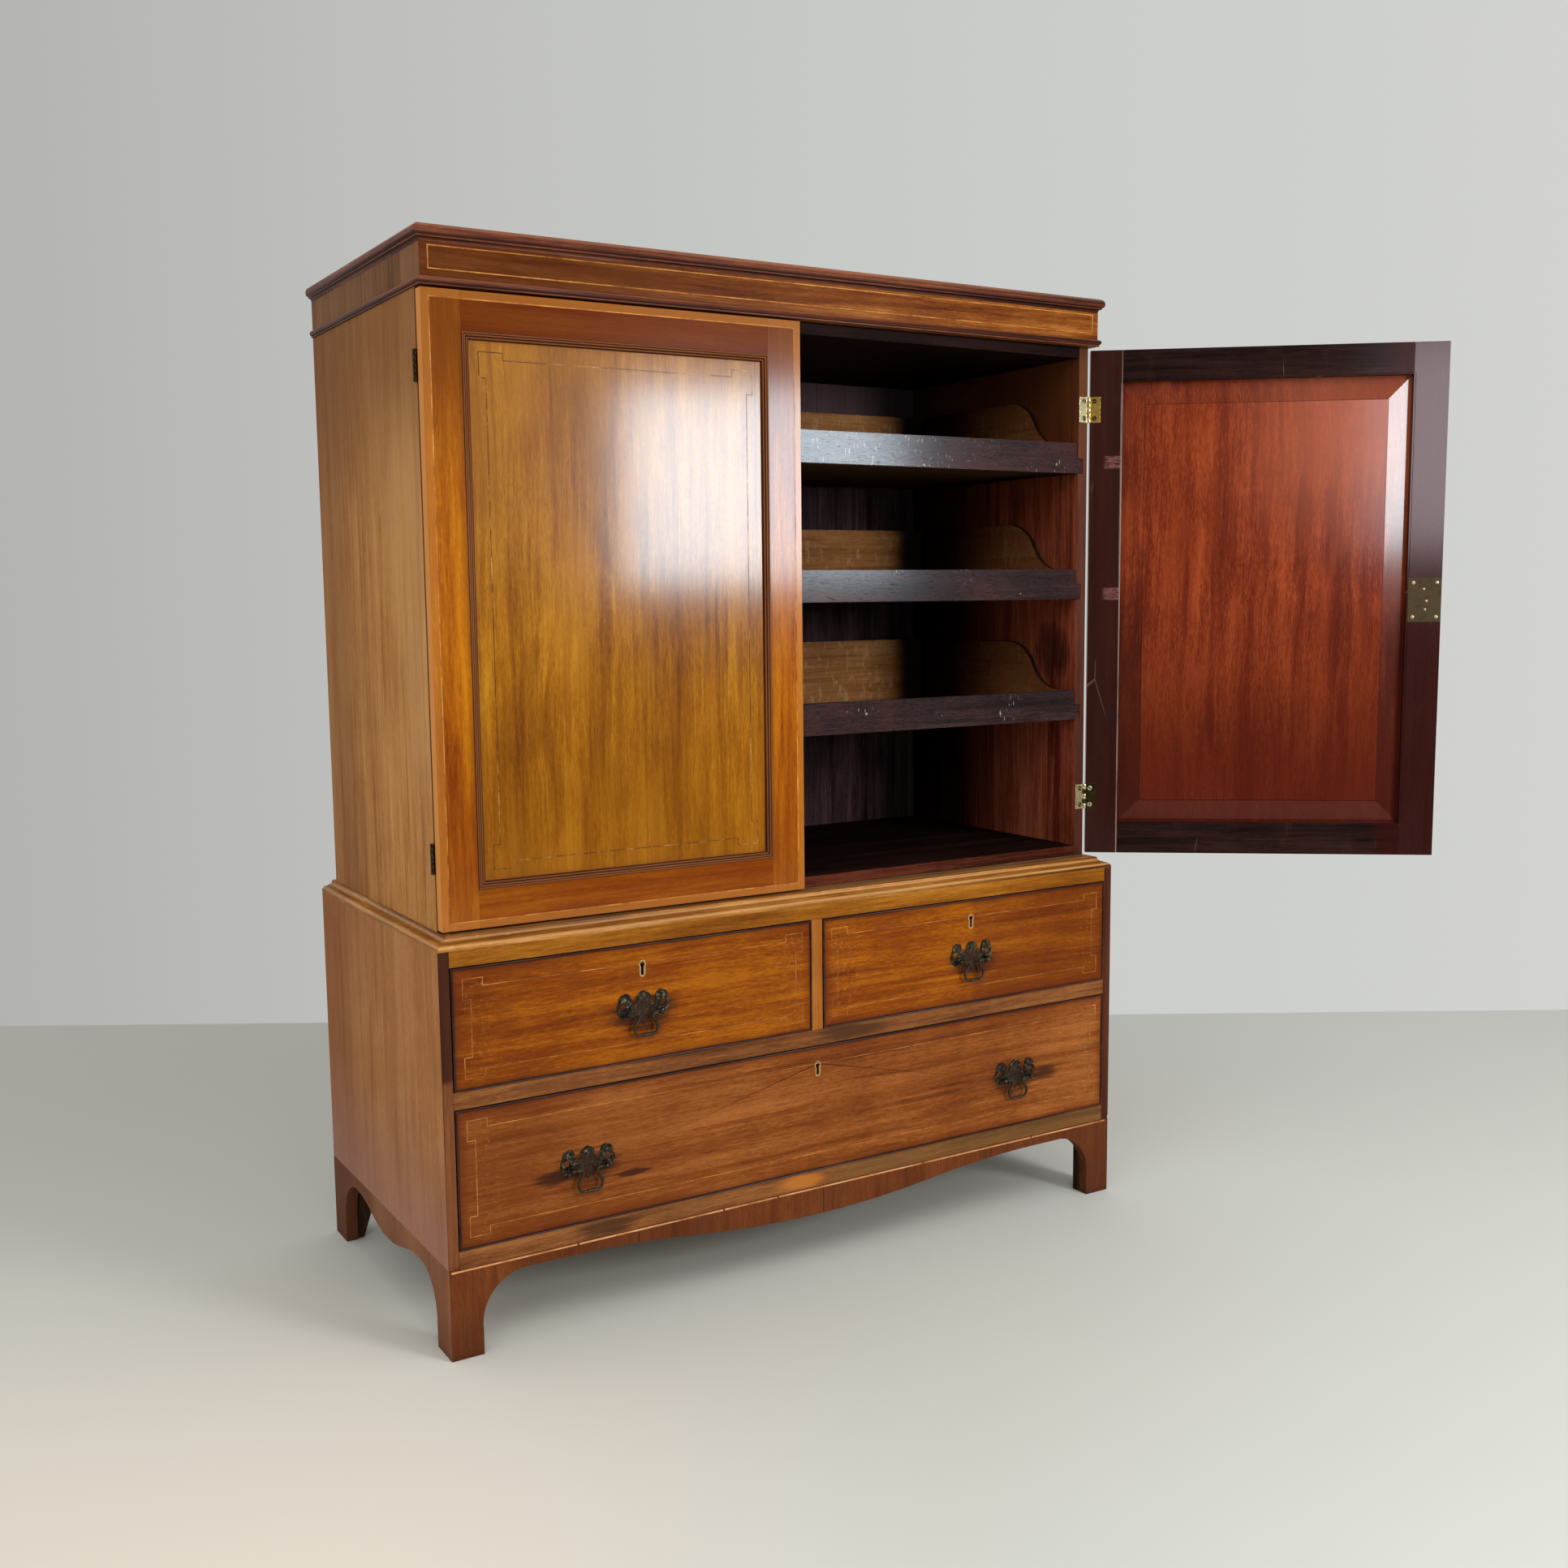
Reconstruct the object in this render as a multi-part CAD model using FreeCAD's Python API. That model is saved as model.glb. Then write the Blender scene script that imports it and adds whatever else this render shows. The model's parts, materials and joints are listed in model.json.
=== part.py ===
import FreeCAD, Part
import math
import os

# Mahogany linen press: a cupboard with sliding trays standing on a chest of drawers.
# Millimetres, X to the right, Y to the back, Z up. The origin is on the floor,
# mid-width and mid-depth of the chest. The left door is shut, the right one stands open.

Vec = FreeCAD.Vector
os.makedirs("parts", exist_ok=True)

# ---------------------------------------------------------------- driving dimensions
# Chest: carcase, rails and drawer openings
CHEST_W = 1270.0
CHEST_D = 584.0
PLINTH_H = 137.0
CHEST_SIDE_T = 16.0
BOTTOM_RAIL_H = 27.0
LONG_OPENING_H = 210.5
MIDDLE_RAIL_H = 26.0
SHORT_OPENING_H = 182.5
TOP_RAIL_H = 24.0
RAIL_D = 60.0
RAIL_STUB = 8.0
MUNTIN_W = 20.0
CHEST_TOP_T = 18.0
BOTTOM_BOARD_T = 16.0
DUST_BOARD_T = 8.0
BACK_BOARD_T = 10.0
BACK_REBATE_W = 10.0
EDGE_STRIP_W = 16.0
EDGE_STRIP_T = 1.5
EDGE_STRIP_FOOT = 5.0
RUNNER_W = 20.0
GUIDE_H = 36.0
STOP_SIZE = 8.0

# Waist moulding round the chest top
WAIST_W = 32.0
WAIST_LIP = 1.0
WAIST_ROUND_R = 8.0
WAIST_FILLET_W = 2.0
WAIST_COVE_R = 8.0

# Bracket feet and aprons
BRACKET_T = 20.0
FRONT_FOOT_W = 50.0
SIDE_FOOT_W = 60.0
FOOT_STRAIGHT_H = 38.0
FOOT_CURVE_W = 62.0
FRONT_ARCH_Z = 118.0
FRONT_ARCH_FLAT = 62.0
FRONT_DROP_Z = 89.0
SIDE_ARCH_Z = 111.0
SIDE_ARCH_FLAT = 10.0
SIDE_DROP_Z = 88.5
REAR_ARCH_RISE = 6.0
REAR_BRACKET_W = 78.0
REAR_BRACKET_FOOT_W = 32.0
REAR_BRACKET_SET_IN = 5.0
FOOT_BLOCK_W = 17.0
GLUE_BLOCK_L = 70.0
GLUE_BLOCK_W = 22.0

# Cupboard carcase
CUPBOARD_SIDE_IN = 19.5
CUPBOARD_BACK_IN = 20.0
CUPBOARD_H = 907.0
CUPBOARD_SIDE_T = 20.0
CUPBOARD_BOARD_T = 18.0
BOARD_TONGUE = 8.0
LIPPING_D = 30.0
BACK_BOARD_COUNT = 5
BACK_BOARD_GAP = 0.5

# Frieze, astragal and cornice
FRIEZE_H = 58.0
FRIEZE_T = 18.0
FRIEZE_END_W = 44.0
ASTRAGAL_FILLET_H = 2.0
ASTRAGAL_FILLET_OUT = 2.5
ASTRAGAL_BEAD_H = 9.5
ASTRAGAL_BEAD_OUT = 5.0
CORNICE_COVE_R = 5.0
CORNICE_STEP_H = 2.5
CORNICE_STEP_OUT = 1.0
CORNICE_OUT = 9.0
CORNICE_CROWN_R = 9.0
CORNICE_H = 23.0
CORNICE_BAR_T = 20.0
DUST_TOP_T = 9.0

# Doors
DOOR_T = 23.0
DOOR_GAP = 1.0
DOOR_SETBACK = 32.0
DOOR_BELOW = 3.5
DOOR_ABOVE = 3.6
MEETING_GAP = 5.0
HINGE_STILE_W = 57.0
LOCK_STILE_W = 59.0
TOP_DOOR_RAIL_W = 55.0
BOTTOM_DOOR_RAIL_W = 57.0
TENON_L = 40.0
TENON_T = 7.0
TENON_SHOULDER = 10.0
PANEL_RECESS = 5.0
PANEL_TONGUE_T = 4.5
PANEL_TONGUE_L = 8.0
PANEL_FIELD_T = 11.0
PANEL_BEVEL_W = 40.0
PANEL_SHOULDER = 1.0
INNER_STEP_W = 3.0
INNER_STEP_DEPTH = 1.2
BEAD_W = 11.0
BEAD_PROUD = 1.5
RIGHT_DOOR_OPEN = 142.0

# Butt hinges of the doors
HINGE_H = 45.0
HINGE_FROM_TOP = 103.0
HINGE_FROM_BOTTOM = 104.0
HINGE_LEAF_W = 17.0
HINGE_LEAF_T = 2.0
KNUCKLE_R = 3.5
KNUCKLE_COUNT = 5
KNUCKLE_GAP = 0.4
KNUCKLE_PROUD = 2.5
PIN_R = 1.5
PIN_FIT = 0.05
KNUCKLE_NOTCH = 0.5

# Cupboard lock
CUPBOARD_LOCK_W = 57.0
CUPBOARD_LOCK_H = 78.0
CUPBOARD_LOCK_PLATE_T = 2.0
CUPBOARD_LOCK_CASE_W = 48.0
CUPBOARD_LOCK_CASE_H = 68.0
CUPBOARD_LOCK_CASE_T = 11.0
CUPBOARD_LOCK_ABOVE_MIDDLE = 5.5
LOCK_BOLT_L = 26.0
LOCK_BOLT_W = 14.0
LOCK_BOLT_T = 5.4
LOCK_BOLT_THROW = 12.0
BOLT_FIT = 0.4

# Linen trays
UPPER_TRAY_DROP = 218.5
MIDDLE_TRAY_DROP = 441.0
LOWER_TRAY_DROP = 657.5
TRAY_FRONT_H = 53.0
TRAY_FRONT_T = 14.0
TRAY_SIDE_H = 138.0
TRAY_SIDE_T = 9.0
TRAY_BACK_GAP = 40.0
TRAY_BOTTOM_T = 8.0
TRAY_SIDE_GAP = 3.5
TRAY_HOUSING = 6.0
TRAY_OGEE_FOOT = 38.0
TRAY_OGEE_L = 138.0
TRAY_CLEAT_H = 26.0
TRAY_GROOVE_DEPTH = 11.0
TRAY_GROOVE_FIT = 0.5
TRAY_CLEAT_FIT = 2.5

# Drawers
DRAWER_FIT = 1.0
DRAWER_REST = 0.3
DRAWER_FRONT_T = 20.0
DRAWER_BACK_GAP = 54.0
DRAWER_SIDE_T = 9.0
DRAWER_SIDE_IN = 1.0
DRAWER_SIDE_DROP = 6.0
DRAWER_BACK_DROP = 10.0
DRAWER_LAP = 6.0
DRAWER_BOTTOM_T = 6.0
DRAWER_BOTTOM_UP = 8.0
DRAWER_GROOVE = 4.0
TAIL_COUNT = 4
TAIL_SHARE = 0.62
TAIL_SLOPE = 6.0
COCKBEAD_W = 3.0
COCKBEAD_D = 8.0
COCKBEAD_PROUD = 2.5

# Drawer locks and keyholes
DRAWER_LOCK_W = 56.0
DRAWER_LOCK_H = 50.0
DRAWER_LOCK_T = 10.0
SELVAGE_W = 64.0
SELVAGE_T = 2.0
SELVAGE_D = 12.0
DRAWER_BOLT_W = 18.0
DRAWER_BOLT_H = 22.0
DRAWER_BOLT_THROW = 8.0
KEYHOLE_DROP = 37.0
KEYHOLE_R = 4.2
KEYHOLE_SLOT_W = 5.4
KEYHOLE_L = 19.0
LINER_T = 2.0
LINER_D = 4.0

# Swan-neck handles
HANDLE_DROP = 105.0
LONG_HANDLE_DROP = 122.0
LONG_HANDLE_IN = 205.0
PLATE_T = 1.6
PLATE_HALF_W = 44.5
PLATE_CROWN_H = 33.0
PLATE_PIERCE_R = 5.2
PLATE_PIERCE_X = 33.8
PLATE_PIERCE_Z = 10.8
POST_SPACING = 57.0
POST_STEM_R = 3.2
POST_FLANGE_R = 6.0
POST_FLANGE_T = 2.0
POST_HEAD_R = 4.6
POST_REACH = 9.5
NUT_SIZE = 9.0
NUT_T = 3.0
BAIL_R = 2.2
BAIL_GRIP_R = 3.0
BAIL_GRIP_L = 22.0
BAIL_DROP = 34.0
BAIL_EAR_DROP = 1.0
BAIL_EAR_IN_X = 10.5
BAIL_NECK_DROP = 9.0
BAIL_NECK_X = 12.0
BAIL_BELLY_DROP = 20.0
BAIL_BELLY_X = 20.0
BAIL_FOOT_X = 18.0
BAIL_EAR_R = 4.5
BAIL_NECK_R = 7.0
BAIL_BELLY_R = 8.0
BAIL_PIN_R = 1.5
BAIL_PIN_FIT = 0.08
BAIL_EAR_GAP = 2.6

# ---------------------------------------------------------------- derived planes
CHEST_FRONT = -CHEST_D / 2
CHEST_BACK = CHEST_D / 2
CHEST_HALF = CHEST_W / 2
CHEST_INNER = CHEST_HALF - CHEST_SIDE_T
LONG_Z0 = PLINTH_H + BOTTOM_RAIL_H
LONG_Z1 = LONG_Z0 + LONG_OPENING_H
SHORT_Z0 = LONG_Z1 + MIDDLE_RAIL_H
SHORT_Z1 = SHORT_Z0 + SHORT_OPENING_H
CHEST_CASE_TOP = SHORT_Z1 + TOP_RAIL_H
CUPBOARD_Z0 = CHEST_CASE_TOP + CHEST_TOP_T
CUPBOARD_Z1 = CUPBOARD_Z0 + CUPBOARD_H
CUPBOARD_HALF = CHEST_HALF - CUPBOARD_SIDE_IN
CUPBOARD_INNER = CUPBOARD_HALF - CUPBOARD_SIDE_T
DOOR_FACE = CHEST_FRONT + DOOR_SETBACK
DOOR_INSIDE = DOOR_FACE + DOOR_T
CUPBOARD_FRONT = DOOR_INSIDE + DOOR_GAP
CUPBOARD_BACK = CHEST_BACK - CUPBOARD_BACK_IN
FRIEZE_Z1 = CUPBOARD_Z1 + FRIEZE_H
DOOR_Z0 = CUPBOARD_Z0 + DOOR_BELOW
DOOR_Z1 = CUPBOARD_Z1 - DOOR_ABOVE
HINGE_X = CUPBOARD_HALF + KNUCKLE_PROUD
HINGE_Y = (DOOR_INSIDE + CUPBOARD_FRONT) / 2
LOCK_Z = (DOOR_Z0 + DOOR_Z1) / 2 + CUPBOARD_LOCK_ABOVE_MIDDLE


# ---------------------------------------------------------------- shape helpers
def block(xs, ys, zs):
    """Box between two values on each axis."""
    return Part.makeBox(xs[1] - xs[0], ys[1] - ys[0], zs[1] - zs[0], Vec(xs[0], ys[0], zs[0]))


def mirrored(shape):
    """The same piece on the other side of the middle plane."""
    return shape.mirror(Vec(0, 0, 0), Vec(1, 0, 0))


def pair(shape):
    """Left and right copies of a piece."""
    return [mirrored(shape), shape]


def rod(radius, length, start, direction):
    return Part.makeCylinder(radius, length, start, direction)


def on_front(y):
    """Places outline points (x, z) in the vertical plane that faces the front."""
    return lambda x, z: Vec(x, y, z)


def on_side(x):
    """Places outline points (y, z) in the vertical plane that faces a side."""
    return lambda y, z: Vec(x, y, z)


def on_plan(z):
    return lambda x, y: Vec(x, y, z)


def contour(place, start, *moves):
    """Face inside a closed outline. A move is an end point, or (through, end) for an arc."""
    edges = []
    here = start
    for move in moves:
        if isinstance(move[0], tuple):
            through, end = move
            edges.append(Part.Arc(place(*here), place(*through), place(*end)).toShape())
        else:
            end = move
            edges.append(Part.LineSegment(place(*here), place(*end)).toShape())
        here = end
    if here != start:
        edges.append(Part.LineSegment(place(*here), place(*start)).toShape())
    return Part.Face(Part.Wire(edges))


def ogee(start, end):
    """Two equal arcs, level at both ends, as the moves of a contour."""
    across = (end[0] - start[0]) / 2
    rise = (end[1] - start[1]) / 2
    angle = 2 * math.atan(abs(rise) / abs(across))
    radius = abs(across) / math.sin(angle)
    near_x = math.copysign(radius * math.sin(angle / 2), across)
    near_z = math.copysign(radius * (1 - math.cos(angle / 2)), rise)
    middle = (start[0] + across, start[1] + rise)
    first = ((start[0] + near_x, start[1] + near_z), middle)
    second = ((end[0] - near_x, end[1] - near_z), end)
    return first, second


def corner_arc(start, corner, end):
    """Arc from start to end that rounds off the corner between them."""
    pull = math.sqrt(2) - 1
    middle = ((start[0] + end[0]) / 2, (start[1] + end[1]) / 2)
    through = tuple(m + (c - m) * pull for m, c in zip(middle, corner))
    return through, end


def surround(section, half_width, front, back, reach, depth, z0, z1):
    """A moulding on the front and both sides, mitred at the corners.

    section(place) gives the face from points (outward, z); reach is how far it stands out
    of the lines at half_width and front, and depth how far it goes in.
    """
    lines = section(lambda out, z: Vec(-half_width - reach, front - out, z))
    front_run = lines.extrude(Vec(2 * (half_width + reach), 0, 0))
    front_plan = contour(
        on_plan(z0 - 1),
        (-half_width - reach, front - reach),
        (half_width + reach, front - reach),
        (half_width - depth, front + depth),
        (-half_width + depth, front + depth),
    ).extrude(Vec(0, 0, z1 - z0 + 2))
    lines = section(lambda out, z: Vec(half_width + out, front - reach, z))
    side_run = lines.extrude(Vec(0, back - front + reach, 0))
    side_plan = contour(
        on_plan(z0 - 1),
        (half_width + reach, front - reach),
        (half_width - depth, front + depth),
        (half_width - depth, back),
        (half_width + reach, back),
    ).extrude(Vec(0, 0, z1 - z0 + 2))
    side = side_run.common(side_plan)
    return [front_run.common(front_plan)] + pair(side)


def picture_frame(section, xs, zs, face_y, width):
    """Four mitred strips inside a rectangle; section(place) takes points (inward, proud)."""
    deep = 60.0
    middle = ((xs[0] + xs[1]) / 2, (zs[0] + zs[1]) / 2)
    strips = []
    corners = [(xs[0], zs[0]), (xs[1], zs[0]), (xs[1], zs[1]), (xs[0], zs[1])]
    for number, corner in enumerate(corners):
        following = corners[(number + 1) % 4]
        run = Vec(following[0] - corner[0], 0, following[1] - corner[1])
        inward = Vec(-run.z, 0, run.x).normalize()
        along = Vec(run).normalize()
        start = Vec(corner[0], face_y, corner[1])
        strip = section(lambda i, n: start + inward * i + Vec(0, -n, 0)).extrude(run)
        outer = [start, start + run]
        inner = [start + run - along * width + inward * width, start + along * width + inward * width]
        ends = Part.Face(Part.makePolygon(outer + inner + [start]))
        ends.translate(Vec(0, -deep / 2, 0))
        strips.append(strip.common(ends.extrude(Vec(0, deep, 0))))
    return strips


def cut_all(shape, tools):
    for tool in tools:
        shape = shape.cut(tool)
    return shape


def save(name, solids):
    """Writes one node; several separate solids go in as a group."""
    whole = []
    for shape in solids if isinstance(solids, list) else [solids]:
        whole.extend(shape.Solids)
    shape = whole[0] if len(whole) == 1 else Part.makeCompound(whole)
    shape.exportStep("parts/%s.step" % name)


# ---------------------------------------------------------------- plinth and feet
def front_bracket():
    """Front apron and feet, cut from one board and mitred to the side boards."""
    foot = CHEST_HALF - FRONT_FOOT_W
    arch_out = foot - FOOT_CURVE_W
    arch_in = arch_out - FRONT_ARCH_FLAT
    corner = (foot, FRONT_ARCH_Z)
    knee = corner_arc((foot, FOOT_STRAIGHT_H), corner, (arch_out, FRONT_ARCH_Z))
    fall = ogee((arch_in, FRONT_ARCH_Z), (0, FRONT_DROP_Z))
    left_rise = ogee((0, FRONT_DROP_Z), (-arch_in, FRONT_ARCH_Z))
    left_knee = corner_arc((-arch_out, FRONT_ARCH_Z), (-foot, FRONT_ARCH_Z), (-foot, FOOT_STRAIGHT_H))
    face = contour(
        on_front(CHEST_FRONT),
        (CHEST_HALF, PLINTH_H),
        (CHEST_HALF, 0),
        (foot, 0),
        (foot, FOOT_STRAIGHT_H),
        knee,
        (arch_in, FRONT_ARCH_Z),
        fall[0],
        fall[1],
        left_rise[0],
        left_rise[1],
        (-arch_out, FRONT_ARCH_Z),
        left_knee,
        (-foot, 0),
        (-CHEST_HALF, 0),
        (-CHEST_HALF, PLINTH_H),
    )
    board = face.extrude(Vec(0, BRACKET_T, 0))
    mitre = contour(
        on_plan(-1),
        (-CHEST_HALF, CHEST_FRONT),
        (CHEST_HALF, CHEST_FRONT),
        (CHEST_HALF - BRACKET_T, CHEST_FRONT + BRACKET_T),
        (-CHEST_HALF + BRACKET_T, CHEST_FRONT + BRACKET_T),
    ).extrude(Vec(0, 0, PLINTH_H + 2))
    return board.common(mitre)


def side_bracket():
    """Right-hand side apron with its front and rear foot."""
    foot = CHEST_BACK - SIDE_FOOT_W
    arch_out = foot - FOOT_CURVE_W
    arch_in = arch_out - SIDE_ARCH_FLAT
    rear_z = SIDE_ARCH_Z + REAR_ARCH_RISE
    knee = corner_arc((foot, FOOT_STRAIGHT_H), (foot, rear_z), (arch_out, rear_z))
    fall = ogee((arch_in, rear_z), (0, SIDE_DROP_Z))
    rise = ogee((0, SIDE_DROP_Z), (-arch_in, SIDE_ARCH_Z))
    front_knee = corner_arc((-arch_out, SIDE_ARCH_Z), (-foot, SIDE_ARCH_Z), (-foot, FOOT_STRAIGHT_H))
    face = contour(
        on_side(CHEST_HALF - BRACKET_T),
        (CHEST_BACK, PLINTH_H),
        (CHEST_BACK, 0),
        (foot, 0),
        (foot, FOOT_STRAIGHT_H),
        knee,
        (arch_in, rear_z),
        fall[0],
        fall[1],
        rise[0],
        rise[1],
        (-arch_out, SIDE_ARCH_Z),
        front_knee,
        (-foot, 0),
        (CHEST_FRONT, 0),
        (CHEST_FRONT, PLINTH_H),
    )
    board = face.extrude(Vec(BRACKET_T, 0, 0))
    mitre = contour(
        on_plan(-1),
        (CHEST_HALF, CHEST_FRONT),
        (CHEST_HALF, CHEST_BACK),
        (CHEST_HALF - BRACKET_T, CHEST_BACK),
        (CHEST_HALF - BRACKET_T, CHEST_FRONT + BRACKET_T),
    ).extrude(Vec(0, 0, PLINTH_H + 2))
    return board.common(mitre)


def rear_bracket_y():
    """Front face of the board that closes a back foot."""
    return CHEST_BACK - SIDE_FOOT_W + REAR_BRACKET_SET_IN


def rear_bracket():
    """Plain board across a back foot, with a sloping inner edge."""
    outer = CHEST_HALF - BRACKET_T
    face = contour(
        on_front(rear_bracket_y()),
        (outer, PLINTH_H),
        (outer, 0),
        (CHEST_HALF - REAR_BRACKET_FOOT_W, 0),
        (CHEST_HALF - REAR_BRACKET_W, PLINTH_H),
    )
    return face.extrude(Vec(0, BRACKET_T, 0))


def foot_blocks():
    """Blocks in the feet that carry the weight, and rubbed blocks behind the aprons."""
    inner = CHEST_HALF - BRACKET_T
    front_y = CHEST_FRONT + BRACKET_T
    tall = (0, PLINTH_H)
    front_x = (CHEST_HALF - FRONT_FOOT_W, inner)
    blocks = pair(block(front_x, (front_y, front_y + FOOT_BLOCK_W), tall))
    rear_x = (inner - FOOT_BLOCK_W, inner)
    blocks += pair(block(rear_x, (rear_bracket_y() + BRACKET_T, CHEST_BACK), tall))
    low = FRONT_ARCH_Z - (PLINTH_H - FRONT_ARCH_Z) / 4
    for x in (-CHEST_W / 5, 0, CHEST_W / 5):
        xs = (x - GLUE_BLOCK_L / 2, x + GLUE_BLOCK_L / 2)
        blocks.append(block(xs, (front_y, front_y + GLUE_BLOCK_W), (low, PLINTH_H)))
    for y in (-CHEST_D / 8, CHEST_D / 8):
        ys = (y - GLUE_BLOCK_L / 2, y + GLUE_BLOCK_L / 2)
        blocks += pair(block((inner - GLUE_BLOCK_W, inner), ys, (low, PLINTH_H)))
    return blocks


# ---------------------------------------------------------------- chest carcase
def chest_side():
    """Right side board with its facing strip, rebated at the back."""
    ys = (CHEST_FRONT + EDGE_STRIP_T, CHEST_BACK)
    board = block((CHEST_INNER, CHEST_HALF), ys, (PLINTH_H, CHEST_CASE_TOP))
    rebate = block(
        (CHEST_INNER, CHEST_INNER + BACK_REBATE_W),
        (CHEST_BACK - BACK_BOARD_T, CHEST_BACK),
        (PLINTH_H, CHEST_CASE_TOP),
    )
    strip = block(
        (CHEST_HALF - EDGE_STRIP_W, CHEST_HALF),
        (CHEST_FRONT, CHEST_FRONT + EDGE_STRIP_T),
        (PLINTH_H + EDGE_STRIP_FOOT, CHEST_CASE_TOP),
    )
    housings = [stubbed(z0, z1) for z0, z1 in rail_levels()]
    return [cut_all(board, [rebate] + housings), strip]


def rail_levels():
    return ((PLINTH_H, LONG_Z0), (LONG_Z1, SHORT_Z0), (SHORT_Z1, CHEST_CASE_TOP))


def stubbed(z0, z1):
    """Front rail over the full width, with a stub tenon into each side."""
    body = block((-CHEST_INNER, CHEST_INNER), (CHEST_FRONT, CHEST_FRONT + RAIL_D), (z0, z1))
    stub_z = (z0 + (z1 - z0) / 6, z1 - (z1 - z0) / 6)
    stub_y = (CHEST_FRONT + RAIL_D / 4, CHEST_FRONT + RAIL_D)
    stub = block((-CHEST_INNER - RAIL_STUB, CHEST_INNER + RAIL_STUB), stub_y, stub_z)
    return body.fuse(stub).removeSplitter()


def lock_mortise(x, z):
    """Slot in a rail's underside for a drawer's lock bolt."""
    back_y = CHEST_FRONT + DRAWER_FRONT_T
    ys = (back_y - DRAWER_LOCK_T, back_y)
    half = DRAWER_BOLT_W / 2 + DRAWER_FIT
    return block((x - half, x + half), ys, (z, z + DRAWER_BOLT_THROW + DRAWER_FIT))


def chest_rails():
    bottom, middle, top = [stubbed(z0, z1) for z0, z1 in rail_levels()]
    middle = middle.cut(lock_mortise(0, LONG_Z1))
    for x in (-short_middle(), short_middle()):
        top = top.cut(lock_mortise(x, SHORT_Z1))
    return bottom, middle, top


def short_middle():
    """Middle of a short drawer, from the middle of the chest."""
    return (MUNTIN_W / 2 + CHEST_INNER) / 2


def muntin():
    return block(
        (-MUNTIN_W / 2, MUNTIN_W / 2), (CHEST_FRONT, CHEST_FRONT + RAIL_D), (SHORT_Z0, SHORT_Z1)
    )


def inside_depth():
    """From behind the rails to the back boards."""
    return CHEST_FRONT + RAIL_D, CHEST_BACK - BACK_BOARD_T


def chest_boards():
    """Bottom board and the dust board between the drawers."""
    wide = (-CHEST_INNER, CHEST_INNER)
    bottom = block(wide, inside_depth(), (PLINTH_H, PLINTH_H + BOTTOM_BOARD_T))
    dust_z = SHORT_Z0 - MIDDLE_RAIL_H / 4
    dust = block(wide, inside_depth(), (dust_z - DUST_BOARD_T, dust_z))
    return [bottom, dust]


def drawer_bearers():
    """Runners under the drawers, kickers above them, the middle guide and the stops."""
    depth = inside_depth()
    dust_top = SHORT_Z0 - MIDDLE_RAIL_H / 4
    edge = (CHEST_INNER - RUNNER_W, CHEST_INNER)
    pieces = pair(block(edge, depth, (PLINTH_H + BOTTOM_BOARD_T, LONG_Z0)))
    pieces += pair(block(edge, depth, (dust_top, SHORT_Z0)))
    pieces += pair(block(edge, depth, (LONG_Z1, dust_top - DUST_BOARD_T)))
    pieces += pair(block(edge, depth, (SHORT_Z1, CHEST_CASE_TOP)))
    half = MUNTIN_W / 2
    pieces.append(block((-half, half), depth, (SHORT_Z0, SHORT_Z0 + GUIDE_H)))
    pieces.append(block((-half - RUNNER_W, half + RUNNER_W), depth, (dust_top, SHORT_Z0)))
    pieces.append(block((-half - RUNNER_W, half + RUNNER_W), depth, (SHORT_Z1, CHEST_CASE_TOP)))
    stop_y = CHEST_FRONT + DRAWER_FRONT_T + DRAWER_REST
    ys = (stop_y, stop_y + 2 * STOP_SIZE)
    for x in (CHEST_INNER / 4, CHEST_INNER * 3 / 4):
        xs = (x - STOP_SIZE, x + STOP_SIZE)
        pieces += pair(block(xs, ys, (SHORT_Z0, SHORT_Z0 + STOP_SIZE - DRAWER_FIT)))
        pieces += pair(block(xs, ys, (LONG_Z0, LONG_Z0 + STOP_SIZE - DRAWER_FIT)))
    return pieces


def upright_boards(half, ys, zs, count):
    """Back made of equal upright boards with a fine gap between them."""
    width = (2 * half - (count - 1) * BACK_BOARD_GAP) / count
    boards = []
    for number in range(count):
        x = -half + number * (width + BACK_BOARD_GAP)
        boards.append(block((x, x + width), ys, zs))
    return boards


def chest_back():
    half = CHEST_INNER + BACK_REBATE_W
    ys = (CHEST_BACK - BACK_BOARD_T, CHEST_BACK)
    return upright_boards(half, ys, (PLINTH_H, CHEST_CASE_TOP), BACK_BOARD_COUNT)


def waist_section(place):
    base = CHEST_CASE_TOP
    top = CUPBOARD_Z0
    shoulder = base + WAIST_LIP + WAIST_ROUND_R
    turn = WAIST_ROUND_R * (1 - math.sqrt(0.5))
    cove_out = -WAIST_ROUND_R - WAIST_FILLET_W
    bend = WAIST_COVE_R * math.sqrt(0.5)
    return contour(
        place,
        (0, base),
        (0, base + WAIST_LIP),
        ((-turn, shoulder - turn), (-WAIST_ROUND_R, shoulder)),
        (cove_out, shoulder),
        (cove_out, top - WAIST_COVE_R),
        ((cove_out - bend, top - bend), (cove_out - WAIST_COVE_R, top)),
        (-WAIST_W, top),
        (-WAIST_W, base),
    )


def chest_top():
    half = CHEST_HALF - WAIST_W
    return block((-half, half), (CHEST_FRONT + WAIST_W, CHEST_BACK), (CHEST_CASE_TOP, CUPBOARD_Z0))


def waist_moulding():
    return surround(
        waist_section, CHEST_HALF, CHEST_FRONT, CHEST_BACK, 0, WAIST_W, CHEST_CASE_TOP, CUPBOARD_Z0
    )


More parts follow.
